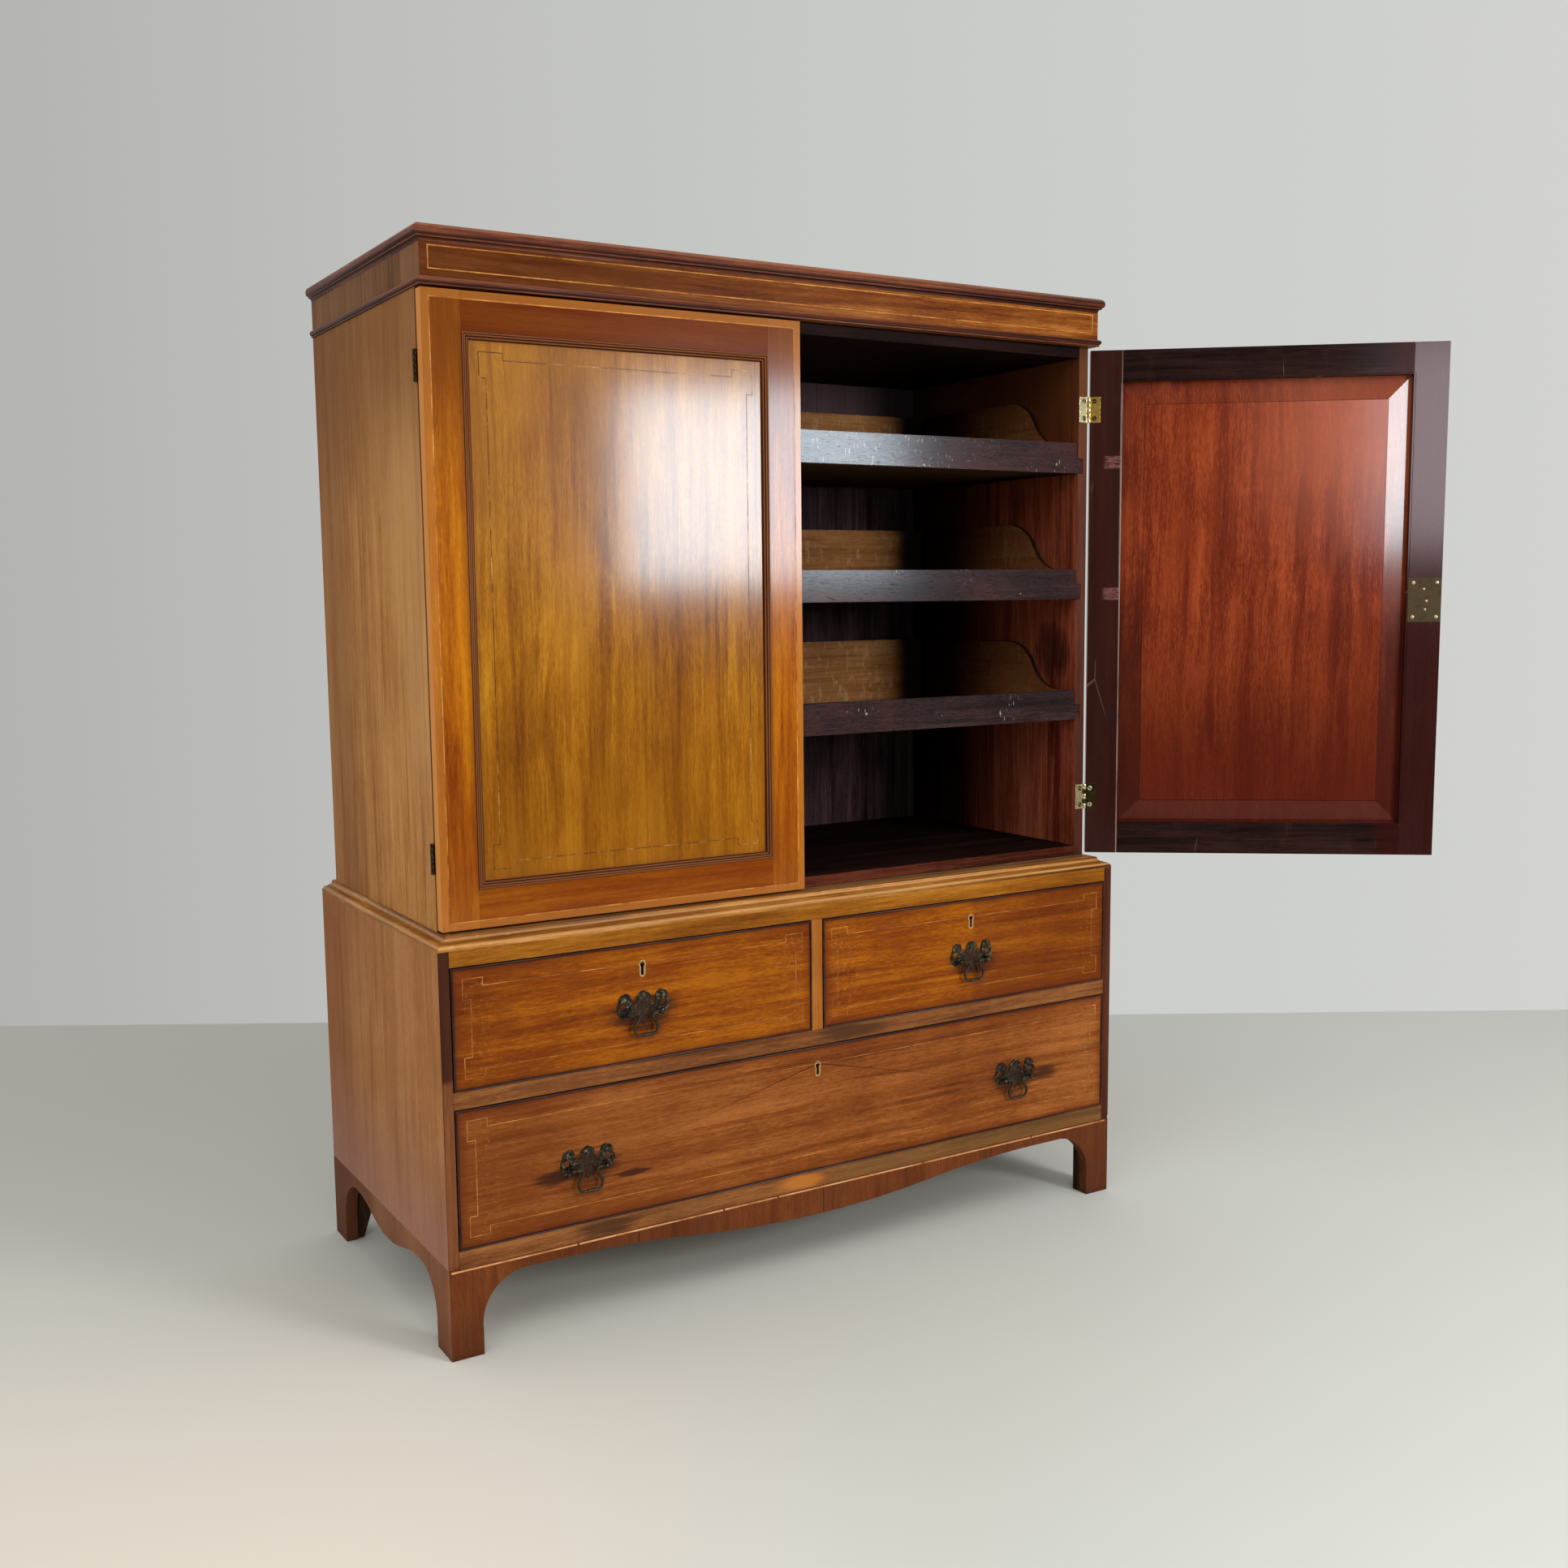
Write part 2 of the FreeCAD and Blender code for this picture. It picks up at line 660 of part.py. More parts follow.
# ---------------------------------------------------------------- drawers
def tail_edge(z0, z1, root, tip):
    """Outline points up one end of a drawer side, with its dovetails."""
    pitch = (z1 - z0) / TAIL_COUNT
    half_tip = pitch * TAIL_SHARE / 2
    half_root = half_tip - abs(tip - root) / TAIL_SLOPE
    points = []
    for number in range(TAIL_COUNT):
        middle = z0 + pitch * (number + 0.5)
        points.append((root, middle - half_root))
        points.append((tip, middle - half_tip))
        points.append((tip, middle + half_tip))
        points.append((root, middle + half_root))
    return points


def keyhole(x, z, y, depth, grow):
    """Round-topped keyhole through a board, or the outside of its liner."""
    along = Vec(0, 1, 0)
    low = z - KEYHOLE_L + KEYHOLE_R
    half = KEYHOLE_SLOT_W / 2 + grow
    bow = rod(KEYHOLE_R + grow, depth, Vec(x, y, z), along)
    end = rod(half, depth, Vec(x, y, low), along)
    slot = block((x - half, x + half), (y, y + depth), (low, z))
    return bow.fuse([end, slot]).removeSplitter()


def keyhole_liner(x, z, y):
    ring = keyhole(x, z, y, LINER_D, LINER_T)
    return ring.cut(keyhole(x, z, y, LINER_D, 0))


def cockbead_section(place):
    half = COCKBEAD_W / 2
    nose = COCKBEAD_PROUD - half
    tail = COCKBEAD_PROUD - COCKBEAD_D
    return contour(
        place,
        (0, tail),
        (0, nose),
        ((half, COCKBEAD_PROUD), (COCKBEAD_W, nose)),
        (COCKBEAD_W, tail),
    )


def drawer_lock(x, top):
    """Lock case let into the back of the front, with its bolt in a channel."""
    back_y = CHEST_FRONT + DRAWER_FRONT_T
    half = DRAWER_LOCK_W / 2
    case = block((x - half, x + half), (back_y - DRAWER_LOCK_T, back_y), (top - DRAWER_LOCK_H, top - SELVAGE_T))
    half = SELVAGE_W / 2
    case = case.fuse(block((x - half, x + half), (back_y - SELVAGE_D, back_y), (top - SELVAGE_T, top)))
    middle_y = back_y - DRAWER_LOCK_T / 2
    half = DRAWER_BOLT_W / 2
    thick = LOCK_BOLT_T / 2
    bolt_top = top - BOLT_FIT
    bolt_z = (bolt_top - DRAWER_BOLT_H, bolt_top)
    bolt = block((x - half, x + half), (middle_y - thick, middle_y + thick), bolt_z)
    half += BOLT_FIT
    thick += BOLT_FIT
    channel = block((x - half, x + half), (middle_y - thick, middle_y + thick), (bolt_z[0] - BOLT_FIT, top))
    return case.removeSplitter().cut(channel), bolt


def drawer(xs, zs, handle_xs, handle_z):
    """One drawer as named pieces: front, cockbead, box, fittings and lock bolt."""
    front_y = CHEST_FRONT
    inside_y = front_y + DRAWER_FRONT_T
    rear_y = CHEST_BACK - BACK_BOARD_T - DRAWER_BACK_GAP
    x0, x1 = xs
    z0, z1 = zs
    middle = (x0 + x1) / 2
    bead = picture_frame(cockbead_section, xs, zs, front_y, COCKBEAD_W)
    side_top = z1 - DRAWER_SIDE_DROP
    front_tails = tail_edge(z0, side_top, inside_y, front_y + DRAWER_LAP)
    rear_tails = tail_edge(z0, side_top, rear_y - DRAWER_SIDE_T, rear_y)
    outer = x0 + DRAWER_SIDE_IN
    rise = [(inside_y, z0)] + front_tails + [(inside_y, side_top)]
    fall = [(rear_y - DRAWER_SIDE_T, side_top)] + rear_tails[::-1] + [(rear_y - DRAWER_SIDE_T, z0)]
    side_face = contour(on_side(outer), *(rise + fall))
    left = side_face.extrude(Vec(DRAWER_SIDE_T, 0, 0))
    right = left.translated(Vec(x1 - x0 - 2 * DRAWER_SIDE_IN - DRAWER_SIDE_T, 0, 0))
    sides = [left, right]
    floor_z = (z0 + DRAWER_BOTTOM_UP, z0 + DRAWER_BOTTOM_UP + DRAWER_BOTTOM_T)
    edge = DRAWER_SIDE_IN + DRAWER_SIDE_T - DRAWER_GROOVE
    floor_y = (inside_y - DRAWER_LAP, rear_y)
    bottom = block((x0 + edge, x1 - edge), floor_y, floor_z)
    back = block(
        (x0 + DRAWER_SIDE_IN, x1 - DRAWER_SIDE_IN),
        (rear_y - DRAWER_SIDE_T, rear_y),
        (floor_z[1], side_top - DRAWER_BACK_DROP),
    )
    back = cut_all(back, sides)
    sides = [side.cut(bottom) for side in sides]
    lock, bolt = drawer_lock(middle, z1)
    key_z = z1 - KEYHOLE_DROP + KEYHOLE_L / 2 - KEYHOLE_R
    fittings = [lock, keyhole_liner(middle, key_z, front_y)]
    lock_room = bolt.fuse(lock)
    board = block(xs, (front_y, inside_y), zs)
    case_half = DRAWER_LOCK_W / 2
    recess = block(
        (middle - case_half, middle + case_half), (inside_y - DRAWER_LOCK_T, inside_y), (z1 - DRAWER_LOCK_H, z1)
    )
    board = cut_all(board, bead + sides + [bottom, recess, lock_room])
    hole = keyhole(middle, key_z, front_y, DRAWER_FRONT_T, 0)
    board = cut_all(board, [hole, fittings[1]])
    bails = []
    for x in handle_xs:
        mount, bail, holes = handle(x, handle_z)
        fittings += mount
        board = cut_all(board, holes)
        bails.append(bail)
    return {"front": board, "cockbead": bead, "box": sides + [back, bottom], "fittings": fittings, "bolt": bolt}, bails


# ---------------------------------------------------------------- swan-neck handles
def plate_outline(y):
    """Bat-wing back plate: a crown in the middle and an upturned horn at each end.

    Points are shares of the plate's half width and of its crown's height over the posts.
    """
    tip = (0, -0.576)
    right = (
        ((0.079, -0.379), (0.247, -0.273)),
        ((0.382, -0.197), (0.539, -0.227)),
        ((0.809, -0.212), (0.955, 0.03)),
        ((1.0, 0.303), (0.91, 0.545)),
        ((0.899, 0.788), (0.742, 0.909)),
        ((0.584, 0.924), (0.494, 0.758)),
        ((0.461, 0.621), (0.483, 0.485)),
        ((0.404, 0.379), (0.303, 0.47)),
        ((0.236, 0.576), (0.281, 0.697)),
        ((0.18, 0.879), (0, 1.0)),
    )
    left = []
    ends = [tip] + [end for through, end in right]
    for (through, end), start in zip(right[::-1], ends[-2::-1]):
        left.append(((-through[0], through[1]), (-start[0], start[1])))
    return contour(lambda a, b: Vec(a * PLATE_HALF_W, y, b * PLATE_CROWN_H), tip, *(list(right) + left))


def rounded_path(points, radii):
    """Wire through corner points, each corner rounded by its own tangent arc."""
    edges = []
    here = points[0]
    for number, radius in enumerate(radii, start=1):
        corner = points[number]
        back = (points[number - 1] - corner).normalize()
        ahead = (points[number + 1] - corner).normalize()
        half = math.acos(max(-1.0, min(1.0, back.dot(ahead)))) / 2
        reach = radius / math.tan(half)
        enter = corner + back * reach
        leave = corner + ahead * reach
        inward = (back + ahead).normalize()
        through = corner + inward * (radius / math.sin(half) - radius)
        edges.append(Part.LineSegment(here, enter).toShape())
        edges.append(Part.Arc(enter, through, leave).toShape())
        here = leave
    edges.append(Part.LineSegment(here, points[-1]).toShape())
    return Part.Wire(edges)


def round_bar(path, radius):
    """Bar of round section that follows a wire of lines and arcs."""
    bars = []
    for edge in path.Edges:
        start = edge.valueAt(edge.FirstParameter)
        along = edge.tangentAt(edge.FirstParameter)
        if isinstance(edge.Curve, Part.Line):
            bars.append(rod(radius, edge.Length, start, along))
        else:
            ring = Part.Face(Part.Wire(Part.makeCircle(radius, start, along)))
            turn = math.degrees(edge.Length / edge.Curve.Radius)
            bars.append(ring.revolve(edge.Curve.Center, edge.Curve.Axis, turn))
    return bars[0].fuse(bars[1:])


def swan_neck_bail(y):
    """Drooping bail: necks in below the posts, then swells to a flat grip."""
    ear = POST_SPACING / 2 - POST_HEAD_R - BAIL_EAR_GAP
    right = [
        (ear, 0),
        (BAIL_EAR_IN_X, -BAIL_EAR_DROP),
        (BAIL_NECK_X, -BAIL_NECK_DROP),
        (BAIL_BELLY_X, -BAIL_BELLY_DROP),
        (BAIL_FOOT_X, -BAIL_DROP),
    ]
    bends = [BAIL_EAR_R, BAIL_NECK_R, BAIL_NECK_R, BAIL_BELLY_R]
    half = [Vec(a, y, b) for a, b in right]
    other = [Vec(-a, y, b) for a, b in right][::-1]
    path = rounded_path(half + other, bends + bends[::-1])
    pin_l = 2 * POST_HEAD_R + 2 * BAIL_EAR_GAP
    pin_start = ear - BAIL_EAR_GAP
    end = BAIL_GRIP_L / 2
    swell = contour(
        on_front(y),
        (-end, -BAIL_DROP),
        (-end, BAIL_R - BAIL_DROP),
        ((0, BAIL_GRIP_R - BAIL_DROP), (end, BAIL_R - BAIL_DROP)),
        (end, -BAIL_DROP),
    )
    bail = round_bar(path, BAIL_R).fuse(swell.revolve(Vec(0, y, -BAIL_DROP), Vec(1, 0, 0), 360))
    for side in (1, -1):
        bail = bail.fuse(rod(BAIL_PIN_R, pin_l, Vec(side * pin_start, y, 0), Vec(side, 0, 0)))
    return bail.removeSplitter()


def handle(x, z):
    """Back plate, two posts with nuts, the bail and the bolt holes for one handle.

    All are made about the middle of the posts' feet, then moved to their place.
    """
    plate = plate_outline(-PLATE_T).extrude(Vec(0, PLATE_T, 0))
    out = Vec(0, -1, 0)
    for side in (1, -1):
        pierced = Vec(side * PLATE_PIERCE_X, 0, PLATE_PIERCE_Z)
        plate = plate.cut(rod(PLATE_PIERCE_R, 2 * PLATE_T, pierced, out))
    posts = []
    nuts = []
    holes = []
    inside = DRAWER_FRONT_T
    for side in (1, -1):
        foot = Vec(side * POST_SPACING / 2, 0, 0)
        flange = rod(POST_FLANGE_R, POST_FLANGE_T, foot + out * PLATE_T, out)
        shank = rod(POST_STEM_R, POST_REACH + inside + NUT_T, foot + Vec(0, inside + NUT_T, 0), out)
        head = Part.makeSphere(POST_HEAD_R, foot + out * POST_REACH)
        eye_start = foot + out * POST_REACH - Vec(2 * POST_HEAD_R, 0, 0)
        eye = rod(BAIL_PIN_R + BAIL_PIN_FIT, 4 * POST_HEAD_R, eye_start, Vec(1, 0, 0))
        post = flange.fuse([shank, head]).removeSplitter()
        posts.append(post.cut(eye))
        plate = plate.cut(rod(POST_STEM_R, 2 * PLATE_T, foot, out))
        half = NUT_SIZE / 2
        nut = block((foot.x - half, foot.x + half), (inside, inside + NUT_T), (-half, half))
        nuts.append(nut.cut(post))
        holes.append(rod(POST_STEM_R, inside, foot, Vec(0, 1, 0)))
    place = Vec(x, CHEST_FRONT, z)
    mount = [piece.translated(place) for piece in [plate] + posts + nuts]
    bail = swan_neck_bail(-POST_REACH).translated(place)
    return mount, bail, [hole.translated(place) for hole in holes]


# ---------------------------------------------------------------- cupboard carcase
def tray_levels():
    return [CUPBOARD_Z1 - drop for drop in (LOWER_TRAY_DROP, MIDDLE_TRAY_DROP, UPPER_TRAY_DROP)]


def cupboard_side():
    """Right side with tray grooves, board housings, back rebate and hinge recesses."""
    board = block(
        (CUPBOARD_INNER, CUPBOARD_HALF), (CUPBOARD_FRONT, CUPBOARD_BACK), (CUPBOARD_Z0, CUPBOARD_Z1)
    )
    back_y = CUPBOARD_BACK - BACK_BOARD_T
    tools = [
        block((CUPBOARD_INNER, CUPBOARD_INNER + BACK_REBATE_W), (back_y, CUPBOARD_BACK), (CUPBOARD_Z0, CUPBOARD_Z1))
    ]
    for z in tray_levels():
        zs = (z - TRAY_GROOVE_FIT, z + TRAY_CLEAT_H + TRAY_GROOVE_FIT)
        tools.append(block((CUPBOARD_INNER, CUPBOARD_INNER + TRAY_GROOVE_DEPTH), (CUPBOARD_FRONT, back_y), zs))
    tools += [cupboard_board(z0, z1) for z0, z1 in board_levels()]
    for z in hinge_levels():
        tools.append(leaf_room(z, CUPBOARD_FRONT, CUPBOARD_FRONT + HINGE_LEAF_T))
    return cut_all(board, tools)


def board_levels():
    return (
        (CUPBOARD_Z0, CUPBOARD_Z0 + CUPBOARD_BOARD_T),
        (CUPBOARD_Z1 - CUPBOARD_BOARD_T, CUPBOARD_Z1),
    )


def cupboard_board(z0, z1):
    """Floor or top board, housed into both sides behind a square front corner."""
    back_y = CUPBOARD_BACK - BACK_BOARD_T
    body = block((-CUPBOARD_INNER, CUPBOARD_INNER), (CUPBOARD_FRONT, back_y), (z0, z1))
    tongue_z = (z0 + (z1 - z0) / 4, z1 - (z1 - z0) / 4)
    reach = CUPBOARD_INNER + BOARD_TONGUE
    tongue = block((-reach, reach), (CUPBOARD_FRONT + LIPPING_D, back_y), tongue_z)
    return body.fuse(tongue).removeSplitter()


def cupboard_floor():
    """Floor board with its show-wood lipping along the front."""
    whole = cupboard_board(*board_levels()[0])
    front = block(
        (-CUPBOARD_INNER, CUPBOARD_INNER), (CUPBOARD_FRONT, CUPBOARD_FRONT + LIPPING_D), board_levels()[0]
    )
    return [whole.cut(front), front]


def cupboard_back():
    half = CUPBOARD_INNER + BACK_REBATE_W
    ys = (CUPBOARD_BACK - BACK_BOARD_T, CUPBOARD_BACK)
    return upright_boards(half, ys, (CUPBOARD_Z0, CUPBOARD_Z1), BACK_BOARD_COUNT)


# ---------------------------------------------------------------- frieze and cornice
def frieze():
    """Frieze boards mitred at the front, with an end strip at the back of each side."""
    z0, z1 = CUPBOARD_Z1, FRIEZE_Z1

    def section(place):
        return contour(place, (0, z0), (0, z1), (-FRIEZE_T, z1), (-FRIEZE_T, z0))

    end_y = CUPBOARD_BACK - FRIEZE_END_W
    boards = surround(section, CUPBOARD_HALF, DOOR_FACE, end_y, 0, FRIEZE_T, z0, z1)
    ends = block((CUPBOARD_HALF - FRIEZE_T, CUPBOARD_HALF), (end_y, CUPBOARD_BACK), (z0, z1))
    inner = CUPBOARD_HALF - FRIEZE_T
    back = block((-inner, inner), (CUPBOARD_BACK - FRIEZE_T, CUPBOARD_BACK), (z0, z1))
    return boards + pair(ends) + [back]


def astragal_section(place):
    z0 = CUPBOARD_Z1
    bead_z = z0 + ASTRAGAL_FILLET_H
    top = bead_z + ASTRAGAL_BEAD_H
    return contour(
        place,
        (0, z0),
        (ASTRAGAL_FILLET_OUT, z0),
        (ASTRAGAL_FILLET_OUT, bead_z),
        (1, bead_z),
        ((ASTRAGAL_BEAD_OUT, (bead_z + top) / 2), (1, top)),
        (0, top),
    )


def astragal():
    top = CUPBOARD_Z1 + ASTRAGAL_FILLET_H + ASTRAGAL_BEAD_H
    return surround(
        astragal_section, CUPBOARD_HALF, DOOR_FACE, CUPBOARD_BACK, ASTRAGAL_BEAD_OUT, 0, CUPBOARD_Z1, top
    )


def cornice_section(place):
    z0 = FRIEZE_Z1
    cove = CORNICE_COVE_R
    bend = cove * math.sqrt(0.5)
    step = z0 + cove + CORNICE_STEP_H
    top = z0 + CORNICE_H
    foot = (cove + CORNICE_STEP_OUT, step)
    widest = (CORNICE_OUT, top - CORNICE_CROWN_R)
    crown = CORNICE_OUT - CORNICE_CROWN_R
    bulge = CORNICE_CROWN_R * math.sqrt(0.5)
    return contour(
        place,
        (0, z0),
        ((cove - bend, z0 + bend), (cove, z0 + cove)),
        (cove, step),
        foot,
        corner_arc(foot, (CORNICE_OUT, step), widest),
        ((crown + bulge, widest[1] + bulge), (crown, top)),
        (-CORNICE_BAR_T, top),
        (-CORNICE_BAR_T, z0),
    )


def cornice():
    return surround(
        cornice_section,
        CUPBOARD_HALF,
        DOOR_FACE,
        CUPBOARD_BACK,
        CORNICE_OUT,
        CORNICE_BAR_T,
        FRIEZE_Z1,
        FRIEZE_Z1 + CORNICE_H,
    )


def cornice_dust_board():
    half = CUPBOARD_HALF - CORNICE_BAR_T
    ys = (DOOR_FACE + CORNICE_BAR_T, CUPBOARD_BACK)
    return block((-half, half), ys, (FRIEZE_Z1, FRIEZE_Z1 + DUST_TOP_T))


# ---------------------------------------------------------------- linen trays
def tray(z0):
    """Front with a lug at each end, and an oak box with ogee-ended sides."""
    half = CUPBOARD_INNER - TRAY_SIDE_GAP
    lug = CUPBOARD_INNER + TRAY_GROOVE_DEPTH - TRAY_CLEAT_FIT
    face = contour(
        on_front(CUPBOARD_FRONT),
        (-lug, z0),
        (lug, z0),
        (lug, z0 + TRAY_CLEAT_H),
        (half, z0 + TRAY_CLEAT_H),
        (half, z0 + TRAY_FRONT_H),
        (-half, z0 + TRAY_FRONT_H),
        (-half, z0 + TRAY_CLEAT_H),
        (-lug, z0 + TRAY_CLEAT_H),
    )
    front = face.extrude(Vec(0, TRAY_FRONT_T, 0))
    start_y = CUPBOARD_FRONT + TRAY_FRONT_T - TRAY_HOUSING
    front_in = CUPBOARD_FRONT + TRAY_FRONT_T
    rear_y = CUPBOARD_BACK - BACK_BOARD_T - TRAY_BACK_GAP
    foot_y = CUPBOARD_FRONT + TRAY_OGEE_FOOT
    rise = ogee((foot_y, z0 + TRAY_FRONT_H), (foot_y + TRAY_OGEE_L, z0 + TRAY_SIDE_H))
    side_face = contour(
        on_side(half - TRAY_SIDE_T),
        (start_y, z0),
        (start_y, z0 + TRAY_FRONT_H - TRAY_HOUSING),
        (front_in, z0 + TRAY_FRONT_H - TRAY_HOUSING),
        (front_in, z0 + TRAY_FRONT_H),
        (foot_y, z0 + TRAY_FRONT_H),
        rise[0],
        rise[1],
        (rear_y, z0 + TRAY_SIDE_H),
        (rear_y, z0),
    )
    sides = pair(side_face.extrude(Vec(TRAY_SIDE_T, 0, 0)))
    inner = half - TRAY_SIDE_T
    bottom = block((-inner, inner), (front_in, rear_y - TRAY_SIDE_T), (z0, z0 + TRAY_BOTTOM_T))
    back = block((-inner, inner), (rear_y - TRAY_SIDE_T, rear_y), (z0, z0 + TRAY_SIDE_H))
    cleats = pair(block((half, lug), (front_in, rear_y), (z0, z0 + TRAY_CLEAT_H)))
    return cut_all(front, sides), sides + [back, bottom] + cleats


# ---------------------------------------------------------------- hinges
def hinge_levels():
    return (DOOR_Z0 + HINGE_FROM_BOTTOM, DOOR_Z1 - HINGE_FROM_TOP)


def leaf_room(z, y0, y1):
    """Recess for one leaf of a right-hand hinge and for its knuckle."""
    zs = (z - HINGE_H / 2, z + HINGE_H / 2)
    leaf = block((HINGE_X - KNUCKLE_R - HINGE_LEAF_W, HINGE_X), (y0, y1), zs)
    notch = rod(
        KNUCKLE_R + KNUCKLE_NOTCH,
        HINGE_H + 2 * KNUCKLE_NOTCH,
        Vec(HINGE_X, HINGE_Y, zs[0] - KNUCKLE_NOTCH),
        Vec(0, 0, 1),
    )
    return leaf.fuse(notch)


def hinge_leaf(z, y0, y1, first, bore):
    """Leaf with every second knuckle, starting from the given one."""
    z0 = z - HINGE_H / 2
    clear = HINGE_X - KNUCKLE_R - KNUCKLE_NOTCH
    plate = block((HINGE_X - KNUCKLE_R - HINGE_LEAF_W, clear), (y0, y1), (z0, z0 + HINGE_H))
    pitch = HINGE_H / KNUCKLE_COUNT
    for number in range(first, KNUCKLE_COUNT, 2):
        low = z0 + number * pitch + (KNUCKLE_GAP / 2 if number else 0)
        high = z0 + (number + 1) * pitch - (KNUCKLE_GAP / 2 if number < KNUCKLE_COUNT - 1 else 0)
        tongue = block((clear, HINGE_X), (y0, y1), (low, high))
        barrel = rod(KNUCKLE_R, high - low, Vec(HINGE_X, HINGE_Y, low), Vec(0, 0, 1))
        plate = plate.fuse([tongue, barrel])
    hole = rod(bore, HINGE_H, Vec(HINGE_X, HINGE_Y, z0), Vec(0, 0, 1))
    return plate.removeSplitter().cut(hole)


def carcase_hinges():
    """Carcase leaves of all four hinges with their pins."""
    pieces = []
    for z in hinge_levels():
        leaf = hinge_leaf(z, CUPBOARD_FRONT, CUPBOARD_FRONT + HINGE_LEAF_T, 0, PIN_R)
        pin = rod(PIN_R, HINGE_H, Vec(HINGE_X, HINGE_Y, z - HINGE_H / 2), Vec(0, 0, 1))
        pieces += pair(leaf) + pair(pin)
    return pieces


# ---------------------------------------------------------------- doors
def panel_bead_section(place):
    """Three reeds that step down from the frame to the panel."""
    low = -PANEL_RECESS
    third = BEAD_W / 3
    return contour(
        place,
        (0, low),
        (0, BEAD_PROUD / 2),
        ((third / 2, BEAD_PROUD), (third, BEAD_PROUD / 3)),
        ((third * 1.5, BEAD_PROUD / 3), (third * 2, low / 3)),
        ((third * 2.6, low / 3), (third * 3, low * 0.75)),
        (third * 3, low),
    )


def door_opening(xs):
    """Inside edges of the frame: x from the lock stile to the hinge stile, and z."""
    return (xs[0] + LOCK_STILE_W, xs[1] - HINGE_STILE_W), (DOOR_Z0 + BOTTOM_DOOR_RAIL_W, DOOR_Z1 - TOP_DOOR_RAIL_W)


def door_panel(xs, zs):
    """Flat in front, fielded behind: a bevel all round rises to a raised field."""
    grown_x = (xs[0] - PANEL_TONGUE_L, xs[1] + PANEL_TONGUE_L)
    grown_z = (zs[0] - PANEL_TONGUE_L, zs[1] + PANEL_TONGUE_L)
    face = DOOR_FACE + PANEL_RECESS
    tongue = block(grown_x, (face, face + PANEL_TONGUE_T), grown_z)

    def ring(inset, y):
        x0, x1 = xs[0] + inset, xs[1] - inset
        z0, z1 = zs[0] + inset, zs[1] - inset
        return Part.makePolygon([Vec(x0, y, z0), Vec(x1, y, z0), Vec(x1, y, z1), Vec(x0, y, z1), Vec(x0, y, z0)])

    foot = ring(1.0, face + PANEL_TONGUE_T)
    top_y = face + PANEL_FIELD_T - PANEL_SHOULDER
    bevel = Part.makeLoft([foot, ring(PANEL_BEVEL_W, top_y)], True, True)
    field = Part.Face(ring(PANEL_BEVEL_W, top_y)).extrude(Vec(0, PANEL_SHOULDER, 0))
    return tongue.fuse([bevel, field]).removeSplitter()


def door_frame(xs):
    """Stiles and rails, grooved for the panel and tenoned together."""
    ys = (DOOR_FACE, DOOR_INSIDE)
    span, rise = door_opening(xs)
    lock_stile = block((xs[0], span[0]), ys, (DOOR_Z0, DOOR_Z1))
    hinge_stile = block((span[1], xs[1]), ys, (DOOR_Z0, DOOR_Z1))
    tenon_y = DOOR_FACE + PANEL_RECESS
    rails = []
    for low, high in ((DOOR_Z0, rise[0]), (rise[1], DOOR_Z1)):
        rail = block(span, ys, (low, high))
        tenon_z = (low + TENON_SHOULDER, high - TENON_SHOULDER)
        tenon = block((span[0] - TENON_L, span[1] + TENON_L), (tenon_y, tenon_y + TENON_T), tenon_z)
        rails.append(rail.fuse(tenon).removeSplitter())
    panel = door_panel(span, rise)
    step = block(
        (span[0] - INNER_STEP_W, span[1] + INNER_STEP_W),
        (DOOR_INSIDE - INNER_STEP_DEPTH, DOOR_INSIDE),
        (rise[0] - INNER_STEP_W, rise[1] + INNER_STEP_W),
    )
    rails = [rail.cut(panel).cut(step) for rail in rails]
    lock_stile = cut_all(lock_stile, rails + [panel, step])
    hinge_stile = cut_all(hinge_stile, rails + [panel, step])
    for z in hinge_levels():
        hinge_stile = hinge_stile.cut(leaf_room(z, DOOR_INSIDE - HINGE_LEAF_T, DOOR_INSIDE))
    return lock_stile, hinge_stile, rails, panel


def door_leaves():
    """Door leaves of a right-hand door's two hinges."""
    y0 = DOOR_INSIDE - HINGE_LEAF_T
    return [hinge_leaf(z, y0, DOOR_INSIDE, 1, PIN_R + PIN_FIT) for z in hinge_levels()]


def cupboard_lock(edge):
    """Lock let into the inside of the lock stile; its bolt shoots out at the edge."""
    plate_x = (edge, edge + CUPBOARD_LOCK_W)
    half = CUPBOARD_LOCK_H / 2
    plate_y = (DOOR_INSIDE - CUPBOARD_LOCK_PLATE_T, DOOR_INSIDE)
    plate = block(plate_x, plate_y, (LOCK_Z - half, LOCK_Z + half))
    case_y = (plate_y[0] - CUPBOARD_LOCK_CASE_T, plate_y[0])
    half = CUPBOARD_LOCK_CASE_H / 2
    case = block((edge, edge + CUPBOARD_LOCK_CASE_W), case_y, (LOCK_Z - half, LOCK_Z + half))
    whole = plate.fuse(case).removeSplitter()
    middle_y = sum(case_y) / 2
    half = LOCK_BOLT_W / 2
    thick = LOCK_BOLT_T / 2
    bolt_x = (edge + BOLT_FIT, edge + BOLT_FIT + LOCK_BOLT_L)
    bolt = block(bolt_x, (middle_y - thick, middle_y + thick), (LOCK_Z - half, LOCK_Z + half))
    half += BOLT_FIT
    thick += BOLT_FIT
    room_x = (edge, bolt_x[1] + BOLT_FIT)
    room = block(room_x, (middle_y - thick, middle_y + thick), (LOCK_Z - half, LOCK_Z + half))
    return whole, bolt, room


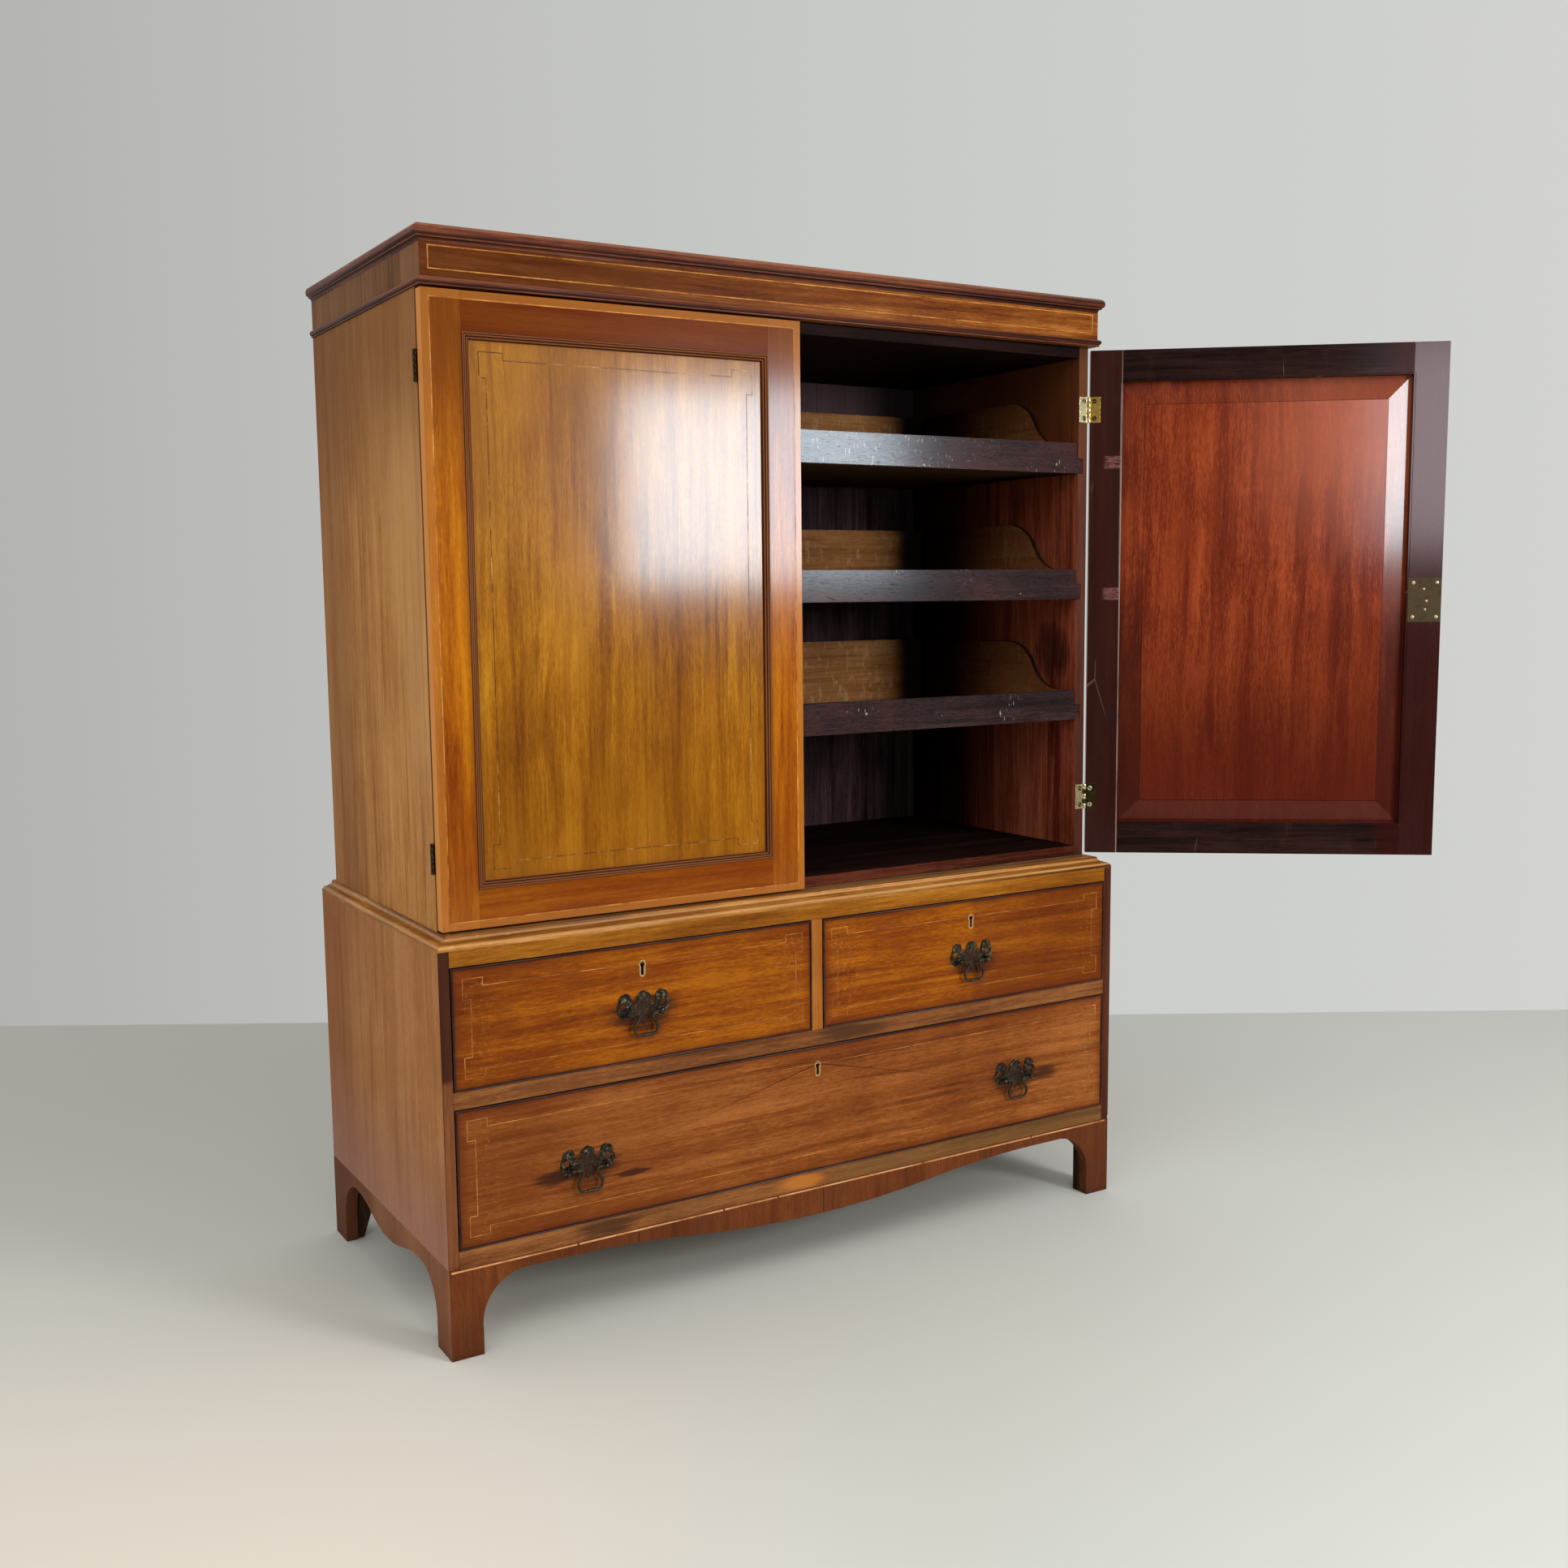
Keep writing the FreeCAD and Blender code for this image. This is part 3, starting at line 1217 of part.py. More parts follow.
def lock_strike():
    """Mortise in the left door's edge that takes the cupboard lock's bolt."""
    middle_y = DOOR_INSIDE - CUPBOARD_LOCK_PLATE_T - CUPBOARD_LOCK_CASE_T / 2
    half = LOCK_BOLT_W / 2 + DRAWER_FIT
    thick = LOCK_BOLT_T / 2 + DRAWER_FIT
    edge = -MEETING_GAP / 2
    return block(
        (edge - LOCK_BOLT_THROW, edge), (middle_y - thick, middle_y + thick), (LOCK_Z - half, LOCK_Z + half)
    )


def door_pieces():
    """Both doors, built shut. The right-hand door is swung open afterwards."""
    edge = MEETING_GAP / 2
    xs = (edge, CUPBOARD_HALF)
    lock_stile, hinge_stile, rails, panel = door_frame(xs)
    bead = picture_frame(panel_bead_section, *door_opening(xs), DOOR_FACE, BEAD_W)
    lock, bolt, room = cupboard_lock(edge)
    key_x = edge + CUPBOARD_LOCK_CASE_W * 0.62
    key_z = LOCK_Z + KEYHOLE_L / 2 - KEYHOLE_R
    hole = keyhole(key_x, key_z, DOOR_FACE, DOOR_T, 0)
    liner = keyhole_liner(key_x, key_z, DOOR_FACE)
    right_stile = cut_all(lock_stile, [lock, room, hole, liner])
    right = {
        "right_door_stiles": [right_stile, hinge_stile],
        "right_door_rails": rails,
        "right_door_panel": [panel],
        "right_door_beading": bead,
        "right_door_hinge_leaves": door_leaves(),
        "right_door_lock": [lock.cut(room), liner],
        "right_door_lock_bolt": [bolt],
    }
    left_stile = mirrored(lock_stile).cut(lock_strike())
    left = {
        "left_door_stiles": [left_stile, mirrored(hinge_stile)],
        "left_door_rails": [mirrored(rail) for rail in rails],
        "left_door_panel": [mirrored(panel)],
        "left_door_beading": [mirrored(strip) for strip in bead],
        "left_door_hinge_leaves": [mirrored(leaf) for leaf in door_leaves()],
    }
    for solids in right.values():
        for solid in solids:
            solid.rotate(Vec(HINGE_X, HINGE_Y, 0), Vec(0, 0, 1), RIGHT_DOOR_OPEN)
    return left, right


# ---------------------------------------------------------------- build
def build():
    save("front_bracket_board", front_bracket())
    save("side_brackets", pair(side_bracket()))
    save("rear_brackets", pair(rear_bracket()))
    save("foot_blocks", foot_blocks())

    side = chest_side()
    save("chest_side_right", side)
    save("chest_side_left", [mirrored(piece) for piece in side])
    bottom, middle, top = chest_rails()
    save("drawer_rails", [bottom, middle, top])
    save("muntin", muntin())
    save("chest_floor_boards", chest_boards())
    save("drawer_bearers", drawer_bearers())
    save("chest_back_boards", chest_back())
    save("chest_top_board", chest_top())
    save("waist_moulding", waist_moulding())

    short_xs = (MUNTIN_W / 2 + DRAWER_FIT, CHEST_INNER - DRAWER_FIT)
    short_zs = (SHORT_Z0 + DRAWER_REST, SHORT_Z1 - DRAWER_FIT)
    long_xs = (-CHEST_INNER + DRAWER_FIT, CHEST_INNER - DRAWER_FIT)
    long_zs = (LONG_Z0 + DRAWER_REST, LONG_Z1 - DRAWER_FIT)
    middle_x = sum(short_xs) / 2
    handle_x = long_xs[1] - LONG_HANDLE_IN
    left_xs = (-short_xs[1], -short_xs[0])
    plans = (
        ("left_drawer", left_xs, short_zs, (-middle_x,), short_zs[1] - HANDLE_DROP),
        ("right_drawer", short_xs, short_zs, (middle_x,), short_zs[1] - HANDLE_DROP),
        ("long_drawer", long_xs, long_zs, (-handle_x, handle_x), long_zs[1] - LONG_HANDLE_DROP),
    )
    for name, xs, zs, handle_xs, handle_z in plans:
        pieces, bails = drawer(xs, zs, handle_xs, handle_z)
        for part, solids in pieces.items():
            save("%s_%s" % (name, part), solids)
        bail_names = ("%s_bail" % name,) if len(bails) == 1 else ("%s_left_bail" % name, "%s_right_bail" % name)
        for bail_name, bail in zip(bail_names, bails):
            save(bail_name, bail)

    side = cupboard_side()
    save("cupboard_side_right", side)
    save("cupboard_side_left", mirrored(side))
    save("cupboard_floor", cupboard_floor())
    save("cupboard_top", cupboard_board(*board_levels()[1]))
    save("cupboard_back_boards", cupboard_back())
    save("frieze", frieze())
    save("astragal", astragal())
    save("cornice", cornice())
    save("cornice_dust_board", cornice_dust_board())
    save("carcase_hinges", carcase_hinges())
    for name, z in zip(("lower_tray", "middle_tray", "upper_tray"), tray_levels()):
        front, box = tray(z)
        save("%s_front" % name, front)
        save("%s_box" % name, box)
    for door in door_pieces():
        for name, solids in door.items():
            save(name, solids)


build()
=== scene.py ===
import json
import math

import bmesh
import bpy
from mathutils import Matrix, Vector


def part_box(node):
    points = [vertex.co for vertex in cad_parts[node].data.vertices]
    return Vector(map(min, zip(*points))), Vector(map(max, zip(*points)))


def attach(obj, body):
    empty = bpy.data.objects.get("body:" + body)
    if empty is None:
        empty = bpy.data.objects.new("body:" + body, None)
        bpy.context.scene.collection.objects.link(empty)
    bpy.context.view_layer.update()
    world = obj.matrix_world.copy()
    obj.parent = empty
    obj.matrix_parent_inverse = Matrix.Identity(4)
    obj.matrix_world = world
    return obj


# Looks of the mahogany linen press: finishes of every CAD node, inlaid stringing, screws and
# rivets, floor, light and camera. Metres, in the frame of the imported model. Colours are given
# as screen values of 0 to 255 for red, green and blue.

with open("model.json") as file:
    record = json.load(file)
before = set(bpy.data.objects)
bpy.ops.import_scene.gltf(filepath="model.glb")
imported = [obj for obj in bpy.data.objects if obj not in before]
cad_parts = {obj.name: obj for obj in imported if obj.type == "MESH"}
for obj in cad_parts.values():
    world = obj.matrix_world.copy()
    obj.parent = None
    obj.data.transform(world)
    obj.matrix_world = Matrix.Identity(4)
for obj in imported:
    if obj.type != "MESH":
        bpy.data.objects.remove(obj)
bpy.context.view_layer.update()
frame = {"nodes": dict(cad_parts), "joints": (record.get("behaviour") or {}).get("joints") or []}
nodes = frame["nodes"]

MM = 0.001

# ---- sizes of what is made here
STRING_W = 1.6 * MM
STRING_PROUD = 0.12 * MM
STRING_DEPTH = 0.4 * MM
DOOR_STRING_IN = 11.5 * MM
PANEL_STRING_W = STRING_W * 0.7
PANEL_STRING_IN = 36.5 * MM
PANEL_CORNER_OUT = 10.5 * MM
PANEL_CORNER_L = 36 * MM
FRIEZE_STRING_IN = 12.5 * MM
FRIEZE_STRING_LOW = 22 * MM
FRIEZE_STRING_HIGH = 53 * MM
DRAWER_STRING_W = STRING_W * 0.75
DRAWER_STRING_IN = 29.5 * MM
DRAWER_CORNER_OUT = 12 * MM
DRAWER_CORNER_L = 30.5 * MM
PLINTH_STRING_W = 1.3 * MM
PLINTH_STRING_DOWN = 3.2 * MM
PLINTH_STRING_GAP = 5 * MM
PLINTH_STRING_IN = 4 * MM
PLINTH_PIECES = (0.16, 0.2, 0.08, 0.23, 0.19, 0.14)
KEY_DOWN = 37 * MM
SCREW_R = 4.2 * MM
LEAF_SCREW_IN = 10 * MM
LEAF_SCREW_OFF = 15 * MM
LEAF_HALF = 22.5 * MM
LOCK_SCREW_R = 2.9 * MM
LOCK_SCREW_IN = 9 * MM
LOCK_SCREW_FROM_BACK = 8 * MM
RIVET_R = 1.9 * MM
RIVETS = ((30 * MM, 19 * MM), (25 * MM, -2 * MM), (27 * MM, -17 * MM))
HEAD_RISE = 0.3 * MM
HEAD_SLOT = 0.14
HEAD_STEPS = 12
HEAD_PROFILE = ((1.0, 0.05), (0.8, 0.6), (0.45, 0.95))
EDGE_SOFTENING = 0.7 * MM
METAL_SOFTENING = 0.25 * MM
FRONTWARD = Vector((0, -1, 0))
BACKWARD = Vector((0, 1, 0))


# ---- where the parts are
def low(node):
    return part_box(node)[0]


def high(node):
    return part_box(node)[1]


def spans(node):
    """Limits of a node across and up."""
    start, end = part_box(node)
    return (start.x, end.x), (start.z, end.z)


def joint(name):
    return next(j for j in frame["joints"] if j["name"] == name)


def handle_points(drawer):
    """Middles of a drawer's handles, as (x, z)."""
    places = {j["name"]: j.get("pos_m") for j in frame["joints"] if j["name"].startswith(drawer)}
    return [(place[0], place[2]) for name, place in places.items() if name.endswith("bail_pivot")]


CHEST_HALF = high("chest_side_right").x
CHEST_FRONT = low("front_bracket_board").y
PLINTH_TOP = high("front_bracket_board").z
CUPBOARD_HALF = high("cupboard_side_right").x
DOOR_FACE = low("left_door_stiles").y
DOOR_BACK = high("left_door_stiles").y
PANEL_FACE = low("left_door_panel").y
DOOR_X, DOOR_Z = spans("left_door_stiles")
OPENING_X, OPENING_Z = spans("left_door_beading")
HINGE_STILE_IN = -OPENING_X[0]
HINGE = Vector(joint("right_door_hinge")["pos_m"])
OPEN_ANGLE = -math.radians(joint("right_door_hinge")["range_deg"][0])
OPENED = Matrix.Rotation(OPEN_ANGLE, 3, "Z")
SIDES = (("left", -1), ("right", 1))
DRAWERS = ("left_drawer", "right_drawer", "long_drawer")
HANDLES = {drawer: handle_points(drawer) for drawer in DRAWERS}


def as_open(point):
    """A point of the shut right door, moved to where it is with the door open."""
    return OPENED @ (point - HINGE) + HINGE


def mirrored(xs, right):
    """Limits of the left door, or their mirror image for the right door."""
    return (-xs[1], -xs[0]) if right else xs


def lock_spans():
    """Limits of the lock's back plate across and up, with the door shut."""
    points = [OPENED.transposed() @ (v.co - HINGE) + HINGE for v in nodes["right_door_lock"].data.vertices]
    plate = [p for p in points if p.y > DOOR_BACK - 1 * MM]
    return [(min(values), max(values)) for values in ([p.x for p in plate], [p.z for p in plate])]


# ---- shader maths
def operator(operation):
    """What a Python operator does with two fields, or with a field and a number."""
    return lambda field, other: field.maths(operation, other)


class Field:
    """A shader socket that adds the nodes of a sum when it is used in one."""

    __add__ = __radd__ = operator("ADD")
    __sub__ = operator("SUBTRACT")
    __mul__ = operator("MULTIPLY")
    __truediv__ = operator("DIVIDE")
    __and__ = operator("MINIMUM")
    __or__ = operator("MAXIMUM")

    def __init__(self, work, socket):
        self.work = work
        self.socket = socket

    def maths(self, operation, *others):
        sockets = {0: self, **{n + 1: other for n, other in enumerate(others)}}
        return self.work.node("Math", sockets, {"operation": operation})

    def vector(self, operation, other):
        return self.work.node("VectorMath", {0: self, 1: other}, {"operation": operation})

    def __neg__(self):
        return self * -1

    def __rsub__(self, other):
        return -self + other

    def size(self):
        return self.maths("ABSOLUTE")

    def between(self, start, end):
        """0 up to start, 1 from end, smooth in the middle. Start may be the larger."""
        ends = {"Value": self, "From Min": start, "From Max": end}
        return self.work.node("MapRange", ends, {"interpolation_type": "SMOOTHSTEP"})

    def mostly(self):
        """1 where this part of a face's normal is most of it."""
        return self.between(0.4, 0.7)

    def inward(self, ends):
        """Distance in from the nearer of two ends."""
        return (self - ends[0]) & (ends[1] - self)


class Shading:
    """A node tree that is filled by sums of fields and by node()."""

    def __init__(self, tree):
        self.tree = tree

    def node(self, kind, sockets=None, settings=None, output=0):
        made = self.tree.nodes.new("ShaderNode" + kind)
        for name, value in (settings or {}).items():
            if name == "stops":
                self.set_stops(made.color_ramp, value)
            else:
                setattr(made, name, value)
        for name, value in (sockets or {}).items():
            self.feed(made.inputs[name], value)
        return None if output is None else Field(self, made.outputs[output])

    def feed(self, socket, value):
        if isinstance(value, Field):
            self.tree.links.new(value.socket, socket)
        else:
            socket.default_value = value

    def set_stops(self, ramp, stops):
        while len(ramp.elements) < len(stops):
            ramp.elements.new(1.0)
        for element, (position, tone) in zip(ramp.elements, stops):
            element.position = position
            element.color = colour_of(tone)

    def parts(self, vector):
        split = self.node("SeparateXYZ", {0: vector})
        return [Field(self, output) for output in split.socket.node.outputs]

    def noise(self, vector, scale, detail=2.0, rough=0.55, distortion=0.0):
        sockets = {"Vector": vector, "Scale": scale, "Detail": detail, "Roughness": rough}
        return self.node("TexNoise", {**sockets, "Distortion": distortion})

    def mix(self, factor, first, second):
        sockets = {0: factor, 6: colour_of(first), 7: colour_of(second)}
        return self.node("Mix", sockets, {"data_type": "RGBA"}, output=2)

    def ramp(self, value, *stops):
        return self.node("ValToRGB", {0: value}, {"stops": stops})

    def layers(self, colour, *coats):
        """A colour with others laid over it in turn, each given as (factor, colour)."""
        for factor, tone in coats:
            colour = self.mix(factor, colour, tone)
        return colour


def colour_of(tone):
    """A field as it is, or screen values as a linear colour."""
    if isinstance(tone, Field):
        return tone
    linear = [((v / 255 + 0.055) / 1.055) ** 2.4 if v > 10 else v / 255 / 12.92 for v in tone]
    return (*linear, 1.0)


WOOD_SHINE = 0.02
GRAIN_RELIEF = 0.06 * MM


class Finish(Shading):
    """One material. On the right door its patterns lie as if the door stood shut."""

    def __init__(self, name, right_door=False):
        self.material = bpy.data.materials.new(name)
        self.material.use_nodes = True
        super().__init__(self.material.node_tree)
        self.shader = self.tree.nodes["Principled BSDF"]
        coordinates = self.tree.nodes.new("ShaderNodeTexCoord")
        self.as_it_stands = Field(self, coordinates.outputs["Object"])
        self.place = self.as_it_stands
        normal = Field(self, coordinates.outputs["Normal"])
        if right_door:
            pivot = tuple(HINGE)
            self.place = self.turned_shut(self.place.vector("SUBTRACT", pivot)).vector("ADD", pivot)
            normal = self.turned_shut(normal)
        self.x, self.y, self.z = self.parts(self.place)
        self.face_x, self.face_y, self.face_z = self.parts(normal)

    def turned_shut(self, vector):
        sockets = {"Vector": vector, "Angle": -OPEN_ANGLE}
        return self.node("VectorRotate", sockets, {"rotation_type": "Z_AXIS"})

    def finished(self, colour, height, relief, **values):
        """Sets the shader's inputs and gives the material."""
        bump = self.node("Bump", {"Height": height, "Distance": relief})
        for name, value in {"Base_Color": colour, "Normal": bump, **values}.items():
            self.feed(self.shader.inputs[name.replace("_", " ")], value)
        return self.material

    def scaled(self, x=1.0, y=1.0, z=1.0):
        """The place with its parts multiplied. Less than 1 draws a pattern out that way."""
        return self.place.vector("MULTIPLY", (x, y, z))

    def pattern(self, scale, detail=2.0, rough=0.55, distortion=0.0, **parts):
        place = self.scaled(**parts) if parts else self.place
        return self.noise(place, scale, detail, rough, distortion)

    def from_point(self, x, z):
        """Distance from a point of the front, the larger of across and up."""
        return (self.x - x).size() | (self.z - z).size()

    def from_rim(self, xs, zs):
        """Distance in from the nearest side of a rectangle of the front."""
        return self.x.inward(xs) & self.z.inward(zs)

    def polished(self, wood, colour, gloss, coat):
        """Old french polish over open grain. Gives the finished material."""
        worn = self.noise(self.as_it_stands, 14, 4, 0.65)
        ripple = self.noise(self.as_it_stands, 9, 2, 0.5)
        rough = (gloss + 0.35) + (worn - 0.5) * 0.12 + wood.pores * 0.15
        height = ripple * 6.0 + wood.fibre * 0.7 - wood.pores * 0.8 + wood.flecks * 0.35
        coating = {"Coat_Weight": coat, "Coat_Roughness": gloss, "Specular_IOR_Level": WOOD_SHINE}
        return self.finished(colour, height, GRAIN_RELIEF, Roughness=rough, **coating)


# ---- wood
LONG_GRAIN = 0.045
SHORT_GRAIN = 0.06
FLECK_GRAIN = 0.14


class Wood:
    """Patterns of one run of grain: ribbon stripes, fine lines and pores, each from 0 to 1."""

    def __init__(self, work, axis, seed=0, waver=0.012, stripe=26):
        self.work = work
        self.axis = axis
        offset = work.place.vector("ADD", (seed, seed * 0.7, seed * 1.3))
        bend = work.node("TexNoise", {"Vector": offset, "Scale": 2.2, "Detail": 2.0}, output=1)
        bend = bend.vector("SUBTRACT", (0.5, 0.5, 0.5)).vector("MULTIPLY", (waver, waver, waver))
        self.bent = offset.vector("ADD", bend)
        self.stripes = self.along(LONG_GRAIN, stripe, 3, 0.6)
        self.lines = self.along(LONG_GRAIN, stripe * 6, 4, 0.8)
        self.fibre = self.along(SHORT_GRAIN, stripe * 30, 2, 0.7)
        self.ribbons = self.along(LONG_GRAIN, stripe * 1.7, 1, 0.5).between(0.56, 0.66)
        self.pores = self.along(SHORT_GRAIN, 1500, 1, 0.5).between(0.6, 0.74)
        self.blotches = work.noise(offset, 5, 3, 0.6)
        self.flecks = self.along(FLECK_GRAIN, 560, 3, 0.7)

    def along(self, amount, scale, detail, rough):
        """Noise that runs with the grain: the place is drawn out along it."""
        drawn_out = self.bent.vector("MULTIPLY", [amount if axis == self.axis else 1.0 for axis in "xyz"])
        return self.work.noise(drawn_out, scale, detail, rough)

    def colour(self, tones, contrast=1.0, fleck=0.25, pore=0.4):
        """Striped colour between three tones, with darker ribbons, flecks and pores."""
        dark, middle, light = tones
        value = self.stripes * 0.4 + self.lines * 0.45 + self.fibre * 0.15
        value = (value - 0.5) * (3.4 * contrast) + 0.54 + (self.blotches - 0.5) * 0.6
        value = value + (self.flecks - 0.5) * (fleck * 1.4) - self.ribbons * (0.3 * contrast)
        striped = self.work.ramp(value, (0.12, dark), (0.5, middle), (0.88, light))
        return self.work.mix(self.pores * pore, striped, dark)

    def stain(self, across, up, centre, reach):
        """1 within an uneven oval, drawn out along the grain."""
        right = (across - centre[0]) / reach[0]
        above = (up - centre[1]) / reach[1]
        spread = (right * right + above * above).maths("SQRT")
        uneven = (self.blotches - 0.5) * 1.2 + (self.lines - 0.5) * 1.4
        return (spread + uneven).between(1.2, 0.5)


RAW_PINE = ((84, 60, 38), (122, 90, 60), (154, 118, 82))
RAW_BLOCKS = ((30, 20, 14), (54, 38, 28), (84, 62, 44))


def plain_wood(name, axis, tones, gloss, coat, contrast=0.9, fleck=0.25):
    """Straight-grained wood in one polish."""
    work = Finish(name)
    wood = Wood(work, axis)
    return work.polished(wood, wood.colour(tones, contrast, fleck), gloss, coat)


# ---- finishes of the doors
# level where a shade starts, where it is full, its strength, its tone
STILE_SHADES = ((1.2, 1.5, 0.8, (106, 50, 2)), (0.95, 0.7, 0.45, (128, 60, 6)))
RAIL_SHADES = ((1.2, 1.4, 0.85, (92, 34, 4)), (0.9, 0.8, 0.5, (116, 52, 3)))
# level of a tray's lug and the tone of the mark it has rubbed
RUB_MARKS = ((1.333, (150, 98, 92)), (1.1, (150, 98, 92)), (0.88, (30, 28, 32)))


def outside_of(work, with_edges=False):
    """1 on faces that look to the front, and on the edges too if asked."""
    middle = 0.5 if with_edges else -0.5
    return work.face_y.between(middle + 0.2, middle - 0.2)


def door_frame_finish(name, axis, right):
    """Polished outside, dull dark inside. The grain runs along the given axis."""
    work = Finish(name, right)
    wood = Wood(work, axis, seed=3.1 if axis == "z" else 7.7)
    outside = outside_of(work, with_edges=not right)
    on_edge = work.face_y.size().between(0.5, 0.2)
    past_opening = -work.from_rim(mirrored(OPENING_X, right), OPENING_Z)
    behind_panel = past_opening.between(0.003, 0.001) * work.y.between(DOOR_FACE + 0.008, DOOR_FACE + 0.01)
    polish = door_frame_outside(work, wood, axis, right, past_opening, on_edge)
    colour = work.mix(outside * (1 - behind_panel), door_inside(work, wood), polish)
    coat = outside * 0.3 + 0.15
    if axis == "z":
        coat = 0.9 - outside * 0.15 - on_edge * outside * 0.7
    return work.polished(wood, colour, 0.12, coat)


def door_frame_outside(work, wood, axis, right, past_opening, on_edge):
    """Golden polish, soiled by the beading and the rim, with a line of wear outside the string. Its edges
    carry painted shade of the gap beside them, with a pale strip at the back.
    """
    rim = work.from_rim(mirrored(DOOR_X, right), DOOR_Z)
    grime = wood.blotches * 0.014
    to_back = work.y.between(DOOR_BACK - 0.005, DOOR_BACK - 0.003)
    shades = STILE_SHADES if axis == "z" else RAIL_SHADES
    return work.layers(
        wood.colour(((114, 46, 2), (158, 84, 3), (194, 120, 8)), 0.75, 0.4),
        ((past_opening + grime).between(0.022, 0.004) * 0.6, (96, 38, 6)),
        ((rim + grime * 0.5).between(0.0065, 0.001) * 0.5, (104, 48, 10)),
        *((work.z.between(start, full) * strength, tone) for start, full, strength, tone in shades),
        (rim.between(0.0125, 0.0105) * 0.4, (196, 126, 50)),
        # painted shade: the door's edges are dark like the gap beside them, with a pale strip at the back
        (on_edge, work.mix(to_back, (214, 142, 72), (70, 34, 14))),
    )


def door_inside(work, wood):
    """Nearly black frame, redder at the hinges, scratched, with rub marks of the trays' lugs and a painted
    highlight along the hinge stile's inner arris.
    """
    from_middle = work.x.size()
    at_hinges = from_middle.between(HINGE_STILE_IN - 0.002, HINGE_STILE_IN + 0.002)
    smears = work.pattern(30, 4, 0.7, z=0.4).between(0.55, 0.75)
    streaks = work.pattern(90, 3, 0.7, z=6).between(0.36, 0.66)
    rubbed_side = (from_middle - HINGE_STILE_IN).between(0.0, 0.003) * from_middle.between(0.592, 0.584)
    rubbed = rubbed_side * (streaks * 0.55 + 0.05)
    arris = (from_middle - (HINGE_STILE_IN + 0.0012)).size().between(0.0014, 0.0006)
    return work.layers(
        wood.colour(((14, 7, 6), (31, 17, 14), (50, 29, 25)), 0.9, 0.3, 0.6),
        (at_hinges * 0.6, (56, 19, 9)),
        (from_middle.between(0.12, 0.08) * 0.7, (50, 10, 6)),
        (smears * 0.25, (66, 42, 36)),
        *(((work.z - level).size().between(0.0125, 0.0095) * rubbed, tone) for level, tone in RUB_MARKS),
        # painted highlight: a pale line along the hinge stile's inner arris
        (arris * (wood.blotches.between(0.4, 0.6) * 0.5 + 0.2), (168, 140, 124)),
        (hairlines(work) * 0.3, (150, 116, 100)),
    )


def hairlines(work):
    """A few long thin scratches that cross the grain at a slant."""
    settings = {"feature": "DISTANCE_TO_EDGE", "voronoi_dimensions": "3D"}
    cells = work.node("TexVoronoi", {"Vector": work.scaled(y=0.2, z=0.22), "Scale": 7.0}, settings)
    here_and_there = work.pattern(9, 2, 0.5).between(0.56, 0.62)
    return cells.between(0.004, 0.001) * here_and_there


def door_panel_finish(name, right):
    """Striped golden veneer in front, red fielded solid wood behind."""
    work = Finish(name, right)
    wood = Wood(work, "z", seed=1.9, waver=0.02, stripe=42)
    outside = outside_of(work)
    bands = work.pattern(16, 2, 0.5, 0.5, z=0.25)
    level_bevel = work.face_z.size().between(0.05, 0.2)
    front = panel_front(work, wood, bands, mirrored(OPENING_X, right))
    colour = work.mix(outside, panel_back(work, bands, level_bevel), front)
    coat = outside * 0.2 + 0.8 - level_bevel * (1 - outside) * 0.75
    return work.polished(wood, colour, 0.12, coat)


def panel_front(work, wood, bands, xs):
    border = (work.from_rim(xs, OPENING_Z) + wood.blotches * 0.02).between(0.034, 0.012)
    return work.layers(
        wood.colour(((98, 50, 5), (146, 88, 8), (188, 128, 24)), 0.55, 0.5, 0.4),
        (bands.between(0.5, 0.66) * 0.3, (178, 118, 26)),
        (bands.between(0.46, 0.32) * 0.4, (104, 56, 6)),
        (work.z.between(1.0, 1.45) * 0.3, (156, 108, 60)),
        (work.z.between(1.0, 0.75) * 0.35, (126, 70, 2)),
        (border * 0.5, (124, 64, 14)),
    )


def panel_back(work, bands, level_bevel):
    wood = Wood(work, "z", seed=6.4, waver=0.05, stripe=18)
    faded = work.x.size().between(0.42, 0.2) * work.z.between(1.12, 1.36)
    upright_bevel = work.face_x.size().between(0.05, 0.2)
    return work.layers(
        wood.colour(((70, 19, 8), (108, 39, 18), (160, 72, 34)), 0.55, 0.6, 0.4),
        (bands.between(0.5, 0.64) * 0.25, (146, 62, 26)),
        (faded * 0.5, (172, 96, 70)),
        (work.z.between(1.15, 0.75) * 0.8, (72, 18, 5)),
        # painted shade: the level bevels are darker, and the upright bevels are darker low down
        (level_bevel * 0.5, (66, 14, 3)),
        (upright_bevel * work.z.between(1.2, 1.0) * 0.7, (30, 10, 7)),
    )


def beading_finish(name, right):
    """Dark reeds whose crowns, where they face the front, are paler: a painted highlight. The grain turns
    the corners with them.
    """
    work = Finish(name, right)
    from_side = work.x.inward(mirrored(OPENING_X, right))
    from_end = work.z.inward(OPENING_Z)
    tones = ((40, 17, 8), (66, 31, 14), (98, 54, 26))
    level = Wood(work, "x", seed=5.5)
    colour = work.layers(
        Wood(work, "z", seed=3.3).colour(tones, 0.5, 0.2),
        ((from_end - from_side).between(0.0005, -0.0005), level.colour(tones, 0.5, 0.2)),
        # painted highlight on the reeds' crowns that face the front
        ((-work.face_y).between(0.86, 0.98) * 0.55, (150, 92, 48)),
    )
    return work.polished(Wood(work, "z"), colour, 0.3, 0.12)


